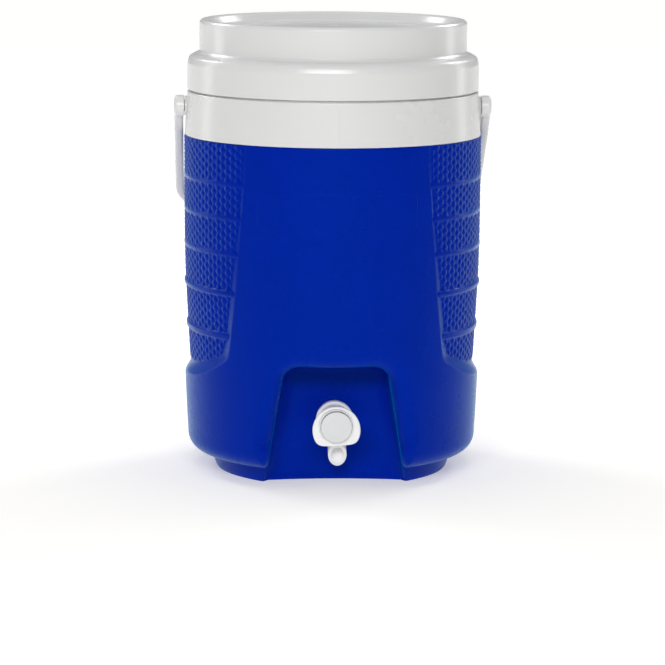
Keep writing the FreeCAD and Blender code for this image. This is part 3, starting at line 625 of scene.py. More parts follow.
# ------------------------------------------------------------------ niche
LINE = np.array(rounded([(-57.0, 0.0), (-40.95, 99.6, 15.5), (40.95, 99.6, 15.5), (57.0, 0.0)], steps=40, support=0.2))
LINE_D = np.r_[0, np.cumsum(np.linalg.norm(np.diff(LINE, axis=0), axis=1))]
corner_i = int(np.argmin(np.abs(LINE[:, 0] + 36.6) + np.abs(LINE[:, 1] - 95.3)))
D_CORNER = float(LINE_D[corner_i])


def line_at(d):
    x = float(np.interp(d, LINE_D, LINE[:, 0]))
    z = float(np.interp(d, LINE_D, LINE[:, 1]))
    e = 0.6
    dx = float(np.interp(d + e, LINE_D, LINE[:, 0]) - np.interp(d - e, LINE_D, LINE[:, 0]))
    dz = float(np.interp(d + e, LINE_D, LINE[:, 1]) - np.interp(d - e, LINE_D, LINE[:, 1]))
    ln = math.hypot(dx, dz)
    return np.array([x, z]), np.array([-dz / ln, dx / ln])


def back_y(x):
    return -334.5 + math.sqrt(270.0 ** 2 - x * x)


n_a = len(s_all) - 1 - I113
half_d = D_CORNER
side_line = [(float(np.interp(d, LINE_D, LINE[:, 1])), d) for d in np.linspace(0, D_CORNER, 400)]
side_z = np.array([q[0] for q in side_line]); side_d = np.array([q[1] for q in side_line])
z_c = float(side_z[-1])
s_c = s_at(z_c)
ds = []
for i in range(n_a + 1):      # from the foot up to the corner
    s = s_all[len(s_all) - 1 - i]
    s2 = s_c + (s - s_all[I113]) * (S_END - s_c) / (S_END - s_all[I113])
    ds.append(float(np.interp(float(z_at(s2)), side_z, side_d)))
ds[0] = 0.0
ds[-1] = D_CORNER
for i in range(1, len(ds)):
    ds[i] = max(ds[i], ds[i - 1] + 0.01)
top_d = list(np.linspace(D_CORNER, LINE_D[-1] - D_CORNER, N_FRONT + 1))
all_d = ds + top_d[1:-1] + [LINE_D[-1] - d for d in ds[::-1]]
K = len(all_d)
bound_idx = ([lines["D"][len(s_all) - 1 - i] for i in range(n_a + 1)] + front_rows[-1][1:-1]
             + [lines["A"][I113 + i] for i in range(n_a + 1)])
bound_ps = ([(-phi_a(s_all[len(s_all) - 1 - i]), s_all[len(s_all) - 1 - i]) for i in range(n_a + 1)]
            + [(-phi_a(s_all[I113]) * (1 - 2 * k / N_FRONT), s_all[I113]) for k in range(1, N_FRONT)]
            + [(phi_a(s_all[I113 + i]), s_all[I113 + i]) for i in range(n_a + 1)])
assert len(bound_idx) == K == len(bound_ps)

MID = (0.22, 0.42, 0.6, 0.75, 0.87, 0.95)
ARC = [k / 9 for k in range(9, -1, -1)]
CLIFF = (0.12, 0.3, 0.5, 0.7, 0.88, 1.0)
INNER = [k / 9 for k in range(1, 10)]
cols = {"mid": [], "arc": [], "cliff": [], "inner": [], "flat": []}
for k in range(K):
    P, n = line_at(all_d[k])
    low = min(max((P[1] - 13.0) / 24.0, 0.0), 1.0)
    R = 1.0 + 9.6 * low ** 0.8
    c2 = P + n * R
    oz = PZ - R * NZ
    orr = PR - R * NR
    # height falls with arc length on the offset section
    sel = slice(0, len(S) - 3)
    order = np.maximum.accumulate(-oz[sel])
    s_star = float(np.interp(-c2[1], order, S[sel]))
    r2 = float(np.interp(s_star, S[sel], orr[sel]))
    nr, nz = float(np.interp(s_star, S, NR)), float(np.interp(s_star, S, NZ))
    cy = -math.sqrt(max(r2 * r2 - c2[0] ** 2, 1.0))
    C = np.array([c2[0], cy, c2[1]])
    N = np.array([nr * C[0] / r2, nr * C[1] / r2, nz])
    N /= np.linalg.norm(N)
    e1 = np.array([-n[0], 0.0, -n[1]])
    om = math.acos(max(-1, min(1, float(e1 @ N))))
    Q = C + R * N
    phi_q = math.degrees(math.atan2(Q[0], -Q[1]))
    bp, bs = bound_ps[k]
    s_q = s_star
    cols["mid"].append([surf(bp + (phi_q - bp) * t, bs + (s_q - bs) * t) for t in MID])
    arc = []
    for t in ARC:
        v = (math.sin((1 - t) * om) * e1 + math.sin(t * om) * N) / math.sin(om)
        arc.append(C + R * v)
    cols["arc"].append(arc)
    yb = max(back_y(P[0]), cy + 0.4)
    depth = yb - cy
    Ri = min(11.0, 0.8 * depth)
    y1 = yb - Ri
    cols["cliff"].append([np.array([P[0], cy + (y1 - cy) * t, P[1]]) for t in CLIFF])
    inn = []
    for t in INNER:
        th = t * math.pi / 2
        p = P - n * Ri * (1 - math.cos(th))
        inn.append(np.array([p[0], y1 + Ri * math.sin(th) + (back_y(p[0]) - back_y(P[0])) * t, p[1]]))
    cols["inner"].append(inn)
    cols["flat"].append(P - n * Ri)
rings = [bound_idx]
for part in ("mid", "arc", "cliff", "inner"):
    for j in range(len(cols[part][0])):
        pts = [np.array(cols[part][k][j]) for k in range(K)]
        for p in pts:
            p[2] = max(p[2], 0.0)
        pts[0][2] = pts[-1][2] = 0.0
        rings.append(shell.add(pts))
shell.grid(rings, flip=True)
F = np.array(cols["flat"])
F[:, 1] = np.maximum(F[:, 1], 0.0)
F[0, 1] = F[-1, 1] = 0.0
lw = F[:n_a + 1][::-1]
rw = F[n_a + N_FRONT:]
tp = F[n_a:n_a + N_FRONT + 1]
bt = np.c_[np.linspace(F[0, 0], F[-1, 0], N_FRONT + 1), np.zeros(N_FRONT + 1)]
g = coons(lw, rw, tp, bt)
last = rings[-1]
wall_rows = []
for i in range(n_a + 1):
    row = []
    for j in range(N_FRONT + 1):
        if j == 0:
            row.append(last[n_a - i])
        elif j == N_FRONT:
            row.append(last[n_a + N_FRONT + i])
        elif i == 0:
            row.append(last[n_a + j])
        else:
            x, z = g[i, j]
            row.append(shell.add([(x, back_y(x), max(z, 0.0))])[0])
    wall_rows.append(row)
shell.grid(wall_rows)

# ------------------------------------------------------------------ underside: foot ring, recess and centre pad
bottom = [r[-1] for r in rings][::-1] + [lines["A"][-1]]          # placeholder order, rebuilt below
bottom = [rings[j][0] for j in range(len(rings))]                  # left side, from the block boundary inwards
bottom = bottom[:-1] + wall_rows[-1] + [rings[j][-1] for j in range(len(rings) - 1)][::-1]
bottom = bottom[:-1] + side_low["R"][-1][:-1] + back_rows[-1][:-1] + side_low["L"][-1][::-1]
bottom = bottom[:-1]
out = np.array([shell.v[i] for i in bottom])
br = np.hypot(out[:, 0], out[:, 1])
bu = out[:, :2] / br[:, None]
inner_rings = [bottom]
for dr, z in ((0.6, 0.0), (2.2, 0.0), (4.6, 0.0), (5.4, 0.25), (6.0, 1.0), (7.6, 3.2), (9.2, 5.2), (9.9, 5.8), (10.8, 6.0)):
    inner_rings.append(shell.add(np.c_[bu * (br - dr)[:, None], np.full(len(br), z)]))
for f in (0.75, 0.5):
    rr = 21.2 + (br - 10.8 - 21.2) * f
    inner_rings.append(shell.add(np.c_[bu * rr[:, None], np.full(len(br), 6.0)]))
for r, z in ((21.2, 6.0), (20.4, 5.6), (20.0, 4.6), (20.0, 1.0), (19.7, 0.3), (19.0, 0.0), (12.0, 0.0), (6.0, 0.0)):
    inner_rings.append(shell.add(np.c_[bu * r, np.full(len(br), z)]))
shell.grid(inner_rings, close=True)
shell.fan(inner_rings[-1], shell.add([(0, 0, 0)])[0])

# ------------------------------------------------------------------ inside of the shell wall
top = front_rows[0][:-1] + side_top["R"][:-1] + back_rows[0][:-1] + side_top["L"][::-1]
top = top[:-1]
tv = np.array([shell.v[i] for i in top])
th = np.arctan2(tv[:, 0], -tv[:, 1])
cav = [top]


def cavity(radius, z, flat=None):
    r = np.full(len(th), float(radius))
    if flat is not None:
        c = np.cos(th)
        lim = np.where(c > 1e-3, flat / np.maximum(c, 1e-3), 1e9)
        r = np.minimum(r, lim)
    cav.append(shell.add(np.c_[r * np.sin(th), -r * np.cos(th), np.full(len(th), z)]))


cavity(118.9, 274.8)
cavity(118.5, 274.4)
cavity(118.5, 262.0)
cavity(113.4, 254.0)
cavity(113.2, 160.0)
cavity(113.2, 143.0)
cavity(96.2, 126.0, 75.0)
cavity(96.2, 113.0, 60.4)
cavity(96.2, 60.0, 60.4)
cavity(96.2, 30.0, 60.4)
cavity(92.0, 22.0, 60.4)
cavity(86.0, 20.0, 58.0)
cavity(40.0, 20.0)
shell.grid(cav, close=True)
shell.fan(cav[-1], shell.add([(0, 0, 20.0)])[0])

# ------------------------------------------------------------------ raised outline on the front and the spigot's seat
hw, hh, rc = 66.0 / 121.3, 14.2, 5.5


def outline_point(t, grow):
    """Rounded rectangle, in mm along the wall and height; t is not used."""
    w, h, r = 66.0 + grow, 14.2 + grow, rc + grow
    segs = [(w - r, -h, w - r, h, "v")]
    pts = []
    for cx, cz, a in ((w - r, h - r, 0), (-(w - r), h - r, 90), (-(w - r), -(h - r), 180), (w - r, -(h - r), 270)):
        for k in range(9):
            an = rad(a + 90 * k / 8)
            pts.append((cx + r * math.cos(an), cz + r * math.sin(an)))
    return pts


def on_wall(u, z, lift):
    s = s_at(z)
    r = float(r_at(s)) + lift
    a = u / float(r_at(s))
    return (r * math.sin(a), -r * math.cos(a), z)


rim = []
for grow, lift in ((-0.75, -0.25), (-0.62, -0.02), (-0.35, 0.07), (0.0, 0.1), (0.35, 0.07), (0.62, -0.02), (0.75, -0.25)):
    base = outline_point(0, grow)
    dense = []
    m = len(base)
    for i in range(m):
        p, q = np.array(base[i]), np.array(base[(i + 1) % m])
        steps = max(1, int(np.linalg.norm(q - p) / 2.5)) if (i + 1) % 9 == 0 else 1
        for k in range(steps):
            dense.append(tuple(p + (q - p) * k / steps))
    rim.append(dense)
count = len(rim[3])
rim_idx = []
for (grow, lift), pts in zip(((-0.75, -0.25), (-0.62, -0.02), (-0.35, 0.07), (0.0, 0.1), (0.35, 0.07), (0.62, -0.02),
                              (0.75, -0.25)), rim):
    pts = resample(np.array(pts + [pts[0]]), 241)[:-1]
    rim_idx.append(shell.add([on_wall(u, 224.0 + z, lift) for u, z in pts]))
shell.grid(rim_idx + [rim_idx[0]], close=True)
lathe(shell, rounded([(0, -62.0), (18.0, -62.0, 0.3), (18.0, -66.0, 0.7), (0, -66.0)], steps=4), 72, axis="Y",
      centre=(0, 0, 50.2))

skin = shell.make("shell_skin", blue, sharp=50)
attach(skin, "cooler")
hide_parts("outer_shell")

# ------------------------------------------------------------------ grip panels: close-set pyramids between smooth ribs
PITCH, PERIOD, PHI0, Z0 = 2.6513, 6.75, 38.3, 262.5
RIBS = [(242.7, 3.4), (215.5, 3.5), (186.8, 3.6), (154.6, 3.8), (119.4, 4.3)]


def bump_field(phi, z):
    a = (phi - PHI0) / PITCH
    b = (z - Z0) / PERIOD
    best = np.full(phi.shape, 9.0)
    for par, off in ((0, 0.0), (1, 0.5)):
        ca = 2 * np.round((a - par) / 2) + par
        cb = np.round(b - off) + off
        du = np.abs(a - ca) * 5.55
        dv = np.abs(b - cb) * PERIOD
        m1 = dv / 3.375
        m2 = (0.852 * du + 0.523 * dv) / 3.24
        m = (m1 ** 7 + m2 ** 7) ** (1 / 7)
        best = np.minimum(best, m)
    m = np.clip(best, 0, 1)
    return 1.0 - (0.15 * m + 0.85 * m ** 1.7)


for key, sign in (("right", 1), ("left", -1)):
    per = 8
    phis = PHI0 + PITCH * (np.arange(int(-0.7 * per), int(39.7 * per) + 1) / per)
    zs = np.r_[Z0 + PERIOD * (np.arange(int(-25.7 * 8), int(1.66 * 8) + 1) / 8), 274.2]
    P2, Z2 = np.meshgrid(phis, zs)
    U2 = (P2 - 90.0) * UM
    d_in = border_distance(U2, Z2, MASK_SIDE, IN_LOW).reshape(P2.shape)
    base = base_r(Z2)
    mask = smoothstep(-0.9, 1.3, d_in)
    h = 1.15 * bump_field(P2, Z2) * mask
    under = -0.9 * smoothstep(0.6, 2.2, -d_in)
    rib = np.zeros_like(h)
    d_out = border_distance(U2, Z2, RIB_SIDE, OUT_LOW).reshape(P2.shape)
    for zc, half in RIBS:
        dist = np.abs(Z2 - zc)
        side = np.clip((half + 0.2 - d_out), 0, None)
        dist = np.hypot(dist, side * 0.9)
        fall = smoothstep(half, half - 2.7, dist)
        top_h = np.minimum(base + 2.3, 121.62) - base
        lift = top_h * fall
        rib = np.maximum(rib, lift)
    k = 0.35
    mixed = np.maximum(h, rib) + 0.0
    blend = np.clip(0.5 + 0.5 * (rib - h) / k, 0, 1)
    mixed = h * (1 - blend) + rib * blend + k * blend * (1 - blend) * (rib > 0.02)
    Rr = base + mixed + np.where(rib > 0.05, 0.0, under)
    th2 = np.radians(P2)
    X, Y = sign * Rr * np.sin(th2), -Rr * np.cos(th2)
    gm = Mesh()
    nr_, nc_ = P2.shape
    gm.v = [tuple(p) for p in np.c_[X.ravel(), Y.ravel(), Z2.ravel()]]
    idx = np.arange(nr_ * nc_).reshape(nr_, nc_)
    rows = [list(r) for r in idx.tolist()]
    gm.grid(rows)
    # plain back of the panel, closing it to a thin solid
    back_cols = np.linspace(0, nc_ - 1, 13).round().astype(int)
    bi = []
    for i in range(nr_):
        pts = []
        for j in back_cols:
            r = float(base_r(zs[i])) - 2.0
            a = rad(float(phis[j]))
            pts.append((sign * r * math.sin(a), -r * math.cos(a), float(zs[i])))
        bi.append(gm.add(pts))
    gm.grid(bi, flip=True)
    gm.strip([r[0] for r in rows], [b[0] for b in bi])
    gm.strip([r[-1] for r in rows], [b[-1] for b in bi], flip=True)
    for row, brow in ((rows[0], bi[0]), (rows[-1], bi[-1])):
        for q in range(12):
            a, b = int(back_cols[q]), int(back_cols[q + 1])
            mid = (a + b) // 2
            for j in range(a, b):
                gm.f.append((row[j], row[j + 1], brow[q] if j < mid else brow[q + 1]))
            gm.f.append((row[mid], brow[q + 1], brow[q]))
    grip = gm.make("grip_" + key, blue)
    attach(grip, "cooler")
    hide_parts("outer_shell")

# ------------------------------------------------------------------ liner: tank, neck and collar
liner = Mesh()
fine = []
for i in range(192):
    fine.append(2 * math.pi * i / 192)
extra = []
for c in (0.0, math.pi):
    for d in (-0.42, -0.22, -0.09, 0.09, 0.22, 0.42):
        extra.append((c + rad(d)) % (2 * math.pi))
angles = sorted(set(fine + extra))


def liner_bend(p):
    x, y, z = p
    r = math.hypot(x, y)
    if r < 96.0 and z < 150.0 and y < 0:
        inner = r < 94.2
        front = 55.7 if inner else 58.0
        lift = max(z - (112.0 if not inner else 113.4), 0.0)
        lim = front + lift * (42.0 / 27.0)
        if -y > lim:
            y = -lim
    if r > 118.0 and 276.0 < z < 306.5:
        a = math.degrees(math.atan2(x, -y))
        d = min(abs(a), 180 - abs(a))
        if d < 0.15:
            x, y = x * (1 + 0.24 / r), y * (1 + 0.24 / r)
    return (x, y, z)


tank_in = [(0, 24.3), (30, 24.3), (60, 24.3), (78, 24.3)]
tank_in += [(86.3 + 6.7 * math.sin(rad(a)), 31.0 - 6.7 * math.cos(rad(a))) for a in range(0, 91, 15)]
tank_in += [(93.0, z) for z in (36, 44, 52, 60, 70, 80, 90, 100, 108, 112, 116, 120, 125, 130, 135, 140, 146, 160, 190, 220,
                                250, 280, 305, 325)]
neck = rounded([(93.0, 330.6), (93.0, 332.0, 0.9), (116.0, 332.0, 1.8), (116.0, 310.5, 0.5), (119.0, 310.5, 1.3),
                (121.0, 275.05, 0.45), (118.4, 275.05), (118.4, 262.0, 0.4), (116.1, 262.0, 0.4), (116.1, 274.0),
                (113.6, 279.0), (113.6, 329.6), (95.3, 329.6)], steps=6, longest=9.0)
tank_out = [(95.3, z) for z in (300, 250, 200, 160, 146, 140, 135, 130, 125, 120, 116, 112, 108, 90, 60, 36)]
tank_out += [(86.3 + 9.0 * math.sin(rad(a)), 31.0 - 9.0 * math.cos(rad(a))) for a in range(90, -1, -15)]
tank_out += [(60, 22.0), (30, 22.0), (0, 22.0)]
lathe(liner, tank_in + neck + tank_out, 0, angles=angles, bend=liner_bend)
for sx in (1, -1):
    prof_b = rounded([(0, 112.0), (8.0, 112.0), (8.0, 121.0, 0.7), (4.9, 121.0, 0.3), (4.5, 121.4), (4.5, 127.0, 0.5), (0, 127.0)],
                     steps=4, support=0.3)
    lathe(liner, [(r, sx * h) for r, h in prof_b], 48, axis="X", centre=(0, 0, 297.7))
collar = liner.make("liner_collar", white, sharp=40)
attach(collar, "cooler")
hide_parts("inner_liner")

# ------------------------------------------------------------------ lid
lid = Mesh()
lid_out = rounded([
    (0, 363.6), (24.0, 363.55), (48.0, 362.7), (72.0, 361.6), (94.6, 360.2), (97.6, 360.5, 2.5), (99.9, 362.3, 1.8),
    (103.2, 367.0, 1.2), (105.0, 368.3, 1.6), (107.2, 368.3, 1.6), (109.0, 366.4, 2.0), (109.0, 343.4, 1.6),
    (110.8, 341.5, 1.6), (113.4, 340.7, 2.0), (117.6, 338.3, 4.5), (119.0, 333.2, 5.0), (119.0, 311.9, 0.7),
    (116.6, 311.9, 0.5), (116.6, 334.9, 0.8), (112.2, 338.0, 1.0), (106.6, 339.3, 0.8), (106.6, 365.0, 0.8),
    (104.3, 365.0, 0.8), (100.8, 359.6, 1.0), (96.3, 357.6, 1.0), (72.0, 359.2), (48.0, 360.3), (24.0, 361.2), (0, 361.2)],
    steps=7, longest=7.0)
lathe(lid, lid_out, 192)
# gate mark at the middle of the dish
lathe(lid, rounded([(0, 363.2), (3.4, 363.2), (3.2, 363.78, 0.2), (2.2, 363.86, 0.3), (0, 363.74)], steps=3, support=0.1), 48,
      bend=lambda p: (p[0] * 1.35, p[1], p[2]))
lid_top = lid.make("lid_top", lid_white, sharp=40)
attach(lid_top, "lid")
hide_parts("lid_shell")

# ------------------------------------------------------------------ bail handle
bail = Mesh()
IN_D, OUT_D = 158.7, 165.8
XC, DC, RC = 126.05, 0.5 * (158.7 + 165.8), 43.55
path = []
for d in np.linspace(1.5, DC - RC, 44):
    path.append((XC, d, 1.0, 0.0))
for k in range(1, 29):
    a = rad(90.0 * k / 28)
    path.append((XC - RC + RC * math.cos(a), DC - RC + RC * math.sin(a), math.cos(a), math.sin(a)))
for x in np.linspace(XC - RC, 0.0, 20)[1:]:
    path.append((x, DC, 0.0, 1.0))
full = path + [(-x, d, -nx, nd) for x, d, nx, nd in path[:-1][::-1]]


def strap_half(d, x):
    w = 6.6 + 2.9 * float(smoothstep(9.0, 41.0, d))
    return w


section = rounded([(1, 1, 0.0)], closed=False)
ring_list = []
stow = rad(36.5)
out_dir = np.array([0.0, math.cos(stow), -math.sin(stow)])
wide_dir = np.array([0.0, math.sin(stow), math.cos(stow)])
pivot = np.array([0.0, 0.0, 297.7])
for x, d, nx, nd in full:
    w = strap_half(d, x)
    cr = 2.0
    loop = rounded([(3.55, w, cr), (-3.55, w, cr), (-3.55, -w, cr), (3.55, -w, cr)], steps=5, support=0.5, closed=True, longest=3.0)
    if ring_list and len(loop) != size:
        base = np.array(loop + [loop[0]])
        loop = [tuple(q) for q in resample(base, size + 1)[:-1]]
    size = len(loop) if not ring_list else size
    pts = []
    crown = 0.35
    for t, v in loop:
        t2 = t + (crown * (1 - (v / w) ** 2) if t > 1.9 else 0.0) * 0.0
        q = pivot + np.array([x, 0, 0]) + out_dir * d + np.array([nx, 0, 0]) * t2 + out_dir * (nd * t2) + wide_dir * v
        pts.append(q)
    ring_list.append(bail.add(pts))
bail.grid(ring_list, close=True)
for ring, e in ((ring_list[0], full[0]), (ring_list[-1], full[-1])):
    q = pivot + np.array([e[0], 0, 0]) + out_dir * e[1]
    bail.fan(ring, bail.add([q])[0])
for sx in (1, -1):
    eye = rounded([(4.55, 121.4, 0.25), (8.6, 121.4, 0.8), (8.6, 128.4, 1.8), (5.8, 129.7, 3.0), (0, 130.0), ], steps=6,
                  support=0.3)
    eye = eye + [(0, 127.4), (4.3, 127.4), (4.55, 127.2), (4.55, 124.0), (4.55, 121.65)]
    # split at the poles: the outer run ends at the tip, the bore begins behind it
    tip = eye.index((0, 127.4))
    outer_run, bore_run = eye[:tip], eye[tip:]
    a = lathe(bail, [(r, sx * h) for r, h in outer_run], 56, axis="X", centre=(0, 0, 297.7))
    b = lathe(bail, [(r, sx * h) for r, h in bore_run], 56, axis="X", centre=(0, 0, 297.7))
    bail.strip(a[0], b[-1], close=True)
bail_ob = bail.make("bail_strap", handle_white, sharp=40, weld=0.002)
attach(bail_ob, "handle")
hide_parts("bail_handle")

# ------------------------------------------------------------------ spigot
sp = Mesh()
ZS, ZB = 50.2, 50.9


def ylathe(mesh, prof, n, zc, **kw):
    return lathe(mesh, prof, n, axis="Y", centre=(0, 0, zc), **kw)


ylathe(sp, rounded([(0, -68.0), (15.3, -68.0, 0.5), (15.3, -71.5, 1.0), (12.0, -71.7), (0, -71.7)], steps=5), 84, 49.7)
# shank through the wall and the nut
ylathe(sp, rounded([(11.0, -70.0), (11.0, -42.0, 0.6), (7.5, -42.0, 0.4), (7.5, -70.0)], steps=4, closed=False, longest=4.0),
       72, ZS, wrap=True)
# barrel and its flare into the button cup
ylathe(sp, rounded([(0, -70.0), (12.6, -70.0), (12.6, -96.5, 2.5), (15.6, -99.5, 1.5), (15.6, -105.0), (14.3, -105.0)], steps=6,
                   longest=5.0), 84, ZS)


def d_outline(inset, n=168):
    """Finger plate outline: a disc cut flat below, with eased corners; inset shrinks it."""
    R, zc, flat = 19.2 - inset, 47.8, 35.1 + inset
    pts = []
    for i in range(n):
        t = 2 * math.pi * i / n
        ux, uz = math.sin(t), math.cos(t)
        rho = R
        if uz < -1e-3:
            q = (zc - flat) / -uz
            k = 5.0
            rho = (R ** -k / 1.0 + q ** -k) ** (-1 / k) if q < 3 * R else R
            kk = 9.0
            rho = (R ** -kk + q ** -kk) ** (-1 / kk)
        pts.append((rho * ux, zc + rho * uz))
    return pts


def well_ring(r, y):
    return sp.add([(r * math.sin(2 * math.pi * i / 168), y, ZB + r * math.cos(2 * math.pi * i / 168)) for i in range(168)])


plate_rings = [well_ring(14.45, -103.9)]
for inset, y in ((1.2, -103.9), (0.55, -103.95), (0.15, -104.25), (0.0, -104.8), (0.0, -105.5), (0.12, -106.1), (0.5, -106.42),
                 (0.8, -106.5)):
    plate_rings.append(sp.add([(x, y, z) for x, z in d_outline(inset)]))
# inner edge: the round well for the bezel and button
well = []
for r, y in ((14.65, -106.5), (14.15, -106.5), (13.97, -106.35), (13.95, -100.6)):
    well.append(well_ring(r, y))
sp.grid(plate_rings + well, close=True)
sp.fan(well[-1], sp.add([(0, -100.6, ZB)])[0])
# spout, cut on a slant so that its mouth faces forward and down
n_s = 72
tube = []


def mouth_z(y):
    return 14.3 + (-85.5 - y) * (20.7 / 15.0)


for r, mode in ((7.5, "top"), (7.5, 0.5), (7.5, 0.8), (7.5, 0.93), (7.5, 0.985), (7.38, 1.0), (7.1, 1.012), (6.4, 1.016),
                (5.5, 1.012), (5.2, 1.0), (5.05, 0.97), (5.05, 0.8), (5.05, 0.5), (5.05, "cap")):
    ring = []
    for i in range(n_s):
        t = 2 * math.pi * i / n_s
        x, y = r * math.sin(t), -93.0 - r * math.cos(t)
        mz = mouth_z(y) + 0.5
        if mode == "top":
            z = 52.0
        elif mode == "cap":
            z = 49.0
        else:
            z = 50.0 + (mz - 50.0) * mode
        ring.append((x, y, z))
    tube.append(sp.add(ring))
sp.grid(tube, close=True)
sp.fan(tube[0], sp.add([(0, -93.0, 52.0)])[0])
sp.fan(tube[-1], sp.add([(0, -93.0, 49.0)])[0])
twist = rad(3.3)
sp.v = [(x * math.cos(twist) - (z - ZS) * math.sin(twist), y, ZS + x * math.sin(twist) + (z - ZS) * math.cos(twist))
        for x, y, z in sp.v]
housing = sp.make("spigot_housing", spigot_white, sharp=40)
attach(housing, "cooler")
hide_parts("spigot_body")

bz = Mesh()
ylathe(bz, rounded([(12.85, -106.45), (12.85, -108.0, 0.35), (13.9, -108.0, 0.45), (13.9, -106.45)], steps=5, support=0.25,
                   closed=True), 120, ZB, wrap=True)
bezel = bz.make("bezel_ring", spigot_white, sharp=45)
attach(bezel, "cooler")
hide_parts("button_bezel")

bt_ = Mesh()
ylathe(bt_, rounded([(0, -110.75), (6.0, -110.8), (10.2, -110.95), (12.5, -111.0, 0.9), (12.5, -106.2, 0.15),
                     (13.3, -106.2, 0.2), (13.3, -104.8, 0.3), (11.2, -104.8, 0.2), (11.2, -108.4, 0.4), (0, -108.4)], steps=6, support=0.3, longest=2.5), 120, ZB)
button = bt_.make("button_cap", button_grey, sharp=45)
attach(button, "button")
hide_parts("push_button")

# the return spring, as its own copy of the mesh, carried by the cooler
coil_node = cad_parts["return_spring"]
coil = bpy.data.objects.new("return_coil", coil_node.data.copy())
coil.matrix_world = coil_node.matrix_world.copy()
scene.collection.objects.link(coil)
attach(coil, "cooler")
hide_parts("return_spring")
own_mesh(coil)

# ------------------------------------------------------------------ floor, light and camera
fm = bpy.data.materials.new("studio_floor")
fm.use_nodes = True
fb = fm.node_tree.nodes["Principled BSDF"]
fb.inputs["Base Color"].default_value = (0.84, 0.83, 0.79, 1)
fb.inputs["Roughness"].default_value = 0.75
fb.inputs["Specular IOR Level"].default_value = 0.0
# painted light: the floor glows, faintly (0.33) in front of and around the cooler and up to 0.78 behind it, fading out
# beyond about 1.3 m to either side except far behind; this stands in for a backdrop lit from behind and keeps a darker
# contact shadow near the foot
fb.inputs["Emission Color"].default_value = (1, 1, 1, 1)
fco = fm.node_tree.nodes.new("ShaderNodeTexCoord")
fsep = fm.node_tree.nodes.new("ShaderNodeSeparateXYZ")
glow_by_depth = fm.node_tree.nodes.new("ShaderNodeMapRange")
glow_by_depth.interpolation_type = "SMOOTHSTEP"
glow_by_depth.inputs["From Min"].default_value = -0.1
glow_by_depth.inputs["From Max"].default_value = 0.9
glow_by_depth.inputs["To Min"].default_value = 0.33
glow_by_depth.inputs["To Max"].default_value = 0.78
fm.node_tree.links.new(fco.outputs["Object"], fsep.inputs[0])
fm.node_tree.links.new(fsep.outputs["Y"], glow_by_depth.inputs["Value"])
fax = fm.node_tree.nodes.new("ShaderNodeMath")
fax.operation = "ABSOLUTE"
glow_by_width = fm.node_tree.nodes.new("ShaderNodeMapRange")
glow_by_width.interpolation_type = "SMOOTHSTEP"
glow_by_width.inputs["From Min"].default_value = 0.55
glow_by_width.inputs["From Max"].default_value = 1.3
glow_by_width.inputs["To Min"].default_value = 1.0
glow_by_width.inputs["To Max"].default_value = 0.0
glow_far_back = fm.node_tree.nodes.new("ShaderNodeMapRange")
glow_far_back.inputs["From Min"].default_value = 1.2
glow_far_back.inputs["From Max"].default_value = 2.2
glow_spread = fm.node_tree.nodes.new("ShaderNodeMath")
glow_spread.operation = "MAXIMUM"
painted_floor_glow = fm.node_tree.nodes.new("ShaderNodeMath")
painted_floor_glow.operation = "MULTIPLY"
fm.node_tree.links.new(fsep.outputs["X"], fax.inputs[0])
fm.node_tree.links.new(fax.outputs[0], glow_by_width.inputs["Value"])
fm.node_tree.links.new(fsep.outputs["Y"], glow_far_back.inputs["Value"])
fm.node_tree.links.new(glow_by_width.outputs["Result"], glow_spread.inputs[0])
fm.node_tree.links.new(glow_far_back.outputs["Result"], glow_spread.inputs[1])
fm.node_tree.links.new(glow_by_depth.outputs["Result"], painted_floor_glow.inputs[0])
fm.node_tree.links.new(glow_spread.outputs[0], painted_floor_glow.inputs[1])
fm.node_tree.links.new(painted_floor_glow.outputs[0], fb.inputs["Emission Strength"])
me = bpy.data.meshes.new("studio_floor")
me.from_pydata([(-40, -40, 0), (40, -40, 0), (40, 40, 0), (-40, 40, 0)], [], [(0, 1, 2, 3)])
me.materials.append(fm)
floor_ob = bpy.data.objects.new("studio_floor", me)
floor_ob.location.z = -0.0001
scene.collection.objects.link(floor_ob)

world = bpy.data.worlds.new("studio")
world.use_nodes = True
scene.world = world
wn = world.node_tree
bg = wn.nodes["Background"]
bg.inputs["Strength"].default_value = 1.0
wc = wn.nodes.new("ShaderNodeTexCoord")
sep = wn.nodes.new("ShaderNodeSeparateXYZ")
wn.links.new(wc.outputs["Generated"], sep.inputs[0])
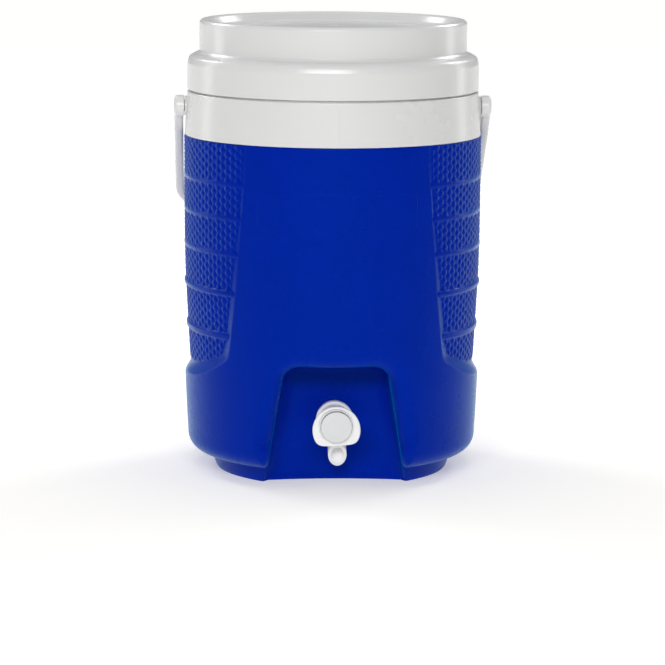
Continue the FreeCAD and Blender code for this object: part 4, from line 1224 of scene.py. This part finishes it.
# white tent overhead and around, darker towards the open front where the camera stands
front = wn.nodes.new("ShaderNodeMapRange")
front.interpolation_type = "SMOOTHSTEP"
front.inputs["From Min"].default_value = 0.25
front.inputs["From Max"].default_value = 0.85
front.inputs["To Min"].default_value = 0.0
front.inputs["To Max"].default_value = 1.0
neg = wn.nodes.new("ShaderNodeMath")
neg.operation = "MULTIPLY"
neg.inputs[1].default_value = -1.0
wn.links.new(sep.outputs["Y"], neg.inputs[0])
wn.links.new(neg.outputs[0], front.inputs["Value"])
mixw = wn.nodes.new("ShaderNodeMix")
mixw.data_type = "RGBA"
mixw.inputs["A"].default_value = (0.31, 0.31, 0.31, 1)
mixw.inputs["B"].default_value = (0.03, 0.03, 0.03, 1)
wn.links.new(front.outputs["Result"], mixw.inputs["Factor"])
wn.links.new(mixw.outputs["Result"], bg.inputs["Color"])


def softbox(name, where, aim, w, h, power):
    ld = bpy.data.lights.new(name, "AREA")
    ld.shape = "RECTANGLE"
    ld.size, ld.size_y = w, h
    ld.energy = power
    lo = bpy.data.objects.new(name, ld)
    lo.location = where
    d = Vector(aim) - Vector(where)
    lo.rotation_euler = d.to_track_quat("-Z", "Y").to_euler()
    scene.collection.objects.link(lo)
    return lo


softbox("key_front", (-0.25, -2.35, 1.2), (0, 0, 0.16), 1.6, 0.5, 35)
softbox("strip_left", (-1.45, 0.66, 0.42), (0, 0, 0.2), 0.28, 1.5, 3.4)
softbox("strip_right", (1.45, 0.66, 0.42), (0, 0, 0.2), 0.28, 1.5, 3.4)
softbox("high_left", (-1.25, 1.2, 1.35), (0, 0, 0.2), 0.6, 0.6, 9)
softbox("high_right", (1.25, 1.2, 1.35), (0, 0, 0.2), 0.6, 0.6, 9)
softbox("overhead", (0, 0.2, 2.2), (0, 0, 0), 1.6, 1.6, 8)

cd = bpy.data.cameras.new("camera")
cd.sensor_width = 36.0
cd.lens = 171.7
cd.shift_x = 0.0014
cam = bpy.data.objects.new("camera", cd)
cam.location = (-0.104, -2.589, 0.530)
base_rot = Matrix.Rotation(rad(-2.3), 4, "Z") @ Matrix.Rotation(rad(80.787), 4, "X") @ Matrix.Rotation(rad(0.33), 4, "Z")
cam.rotation_euler = base_rot.to_euler()
cd.clip_end = 200.0
scene.collection.objects.link(cam)
scene.camera = cam
scene.view_settings.view_transform = "Standard"
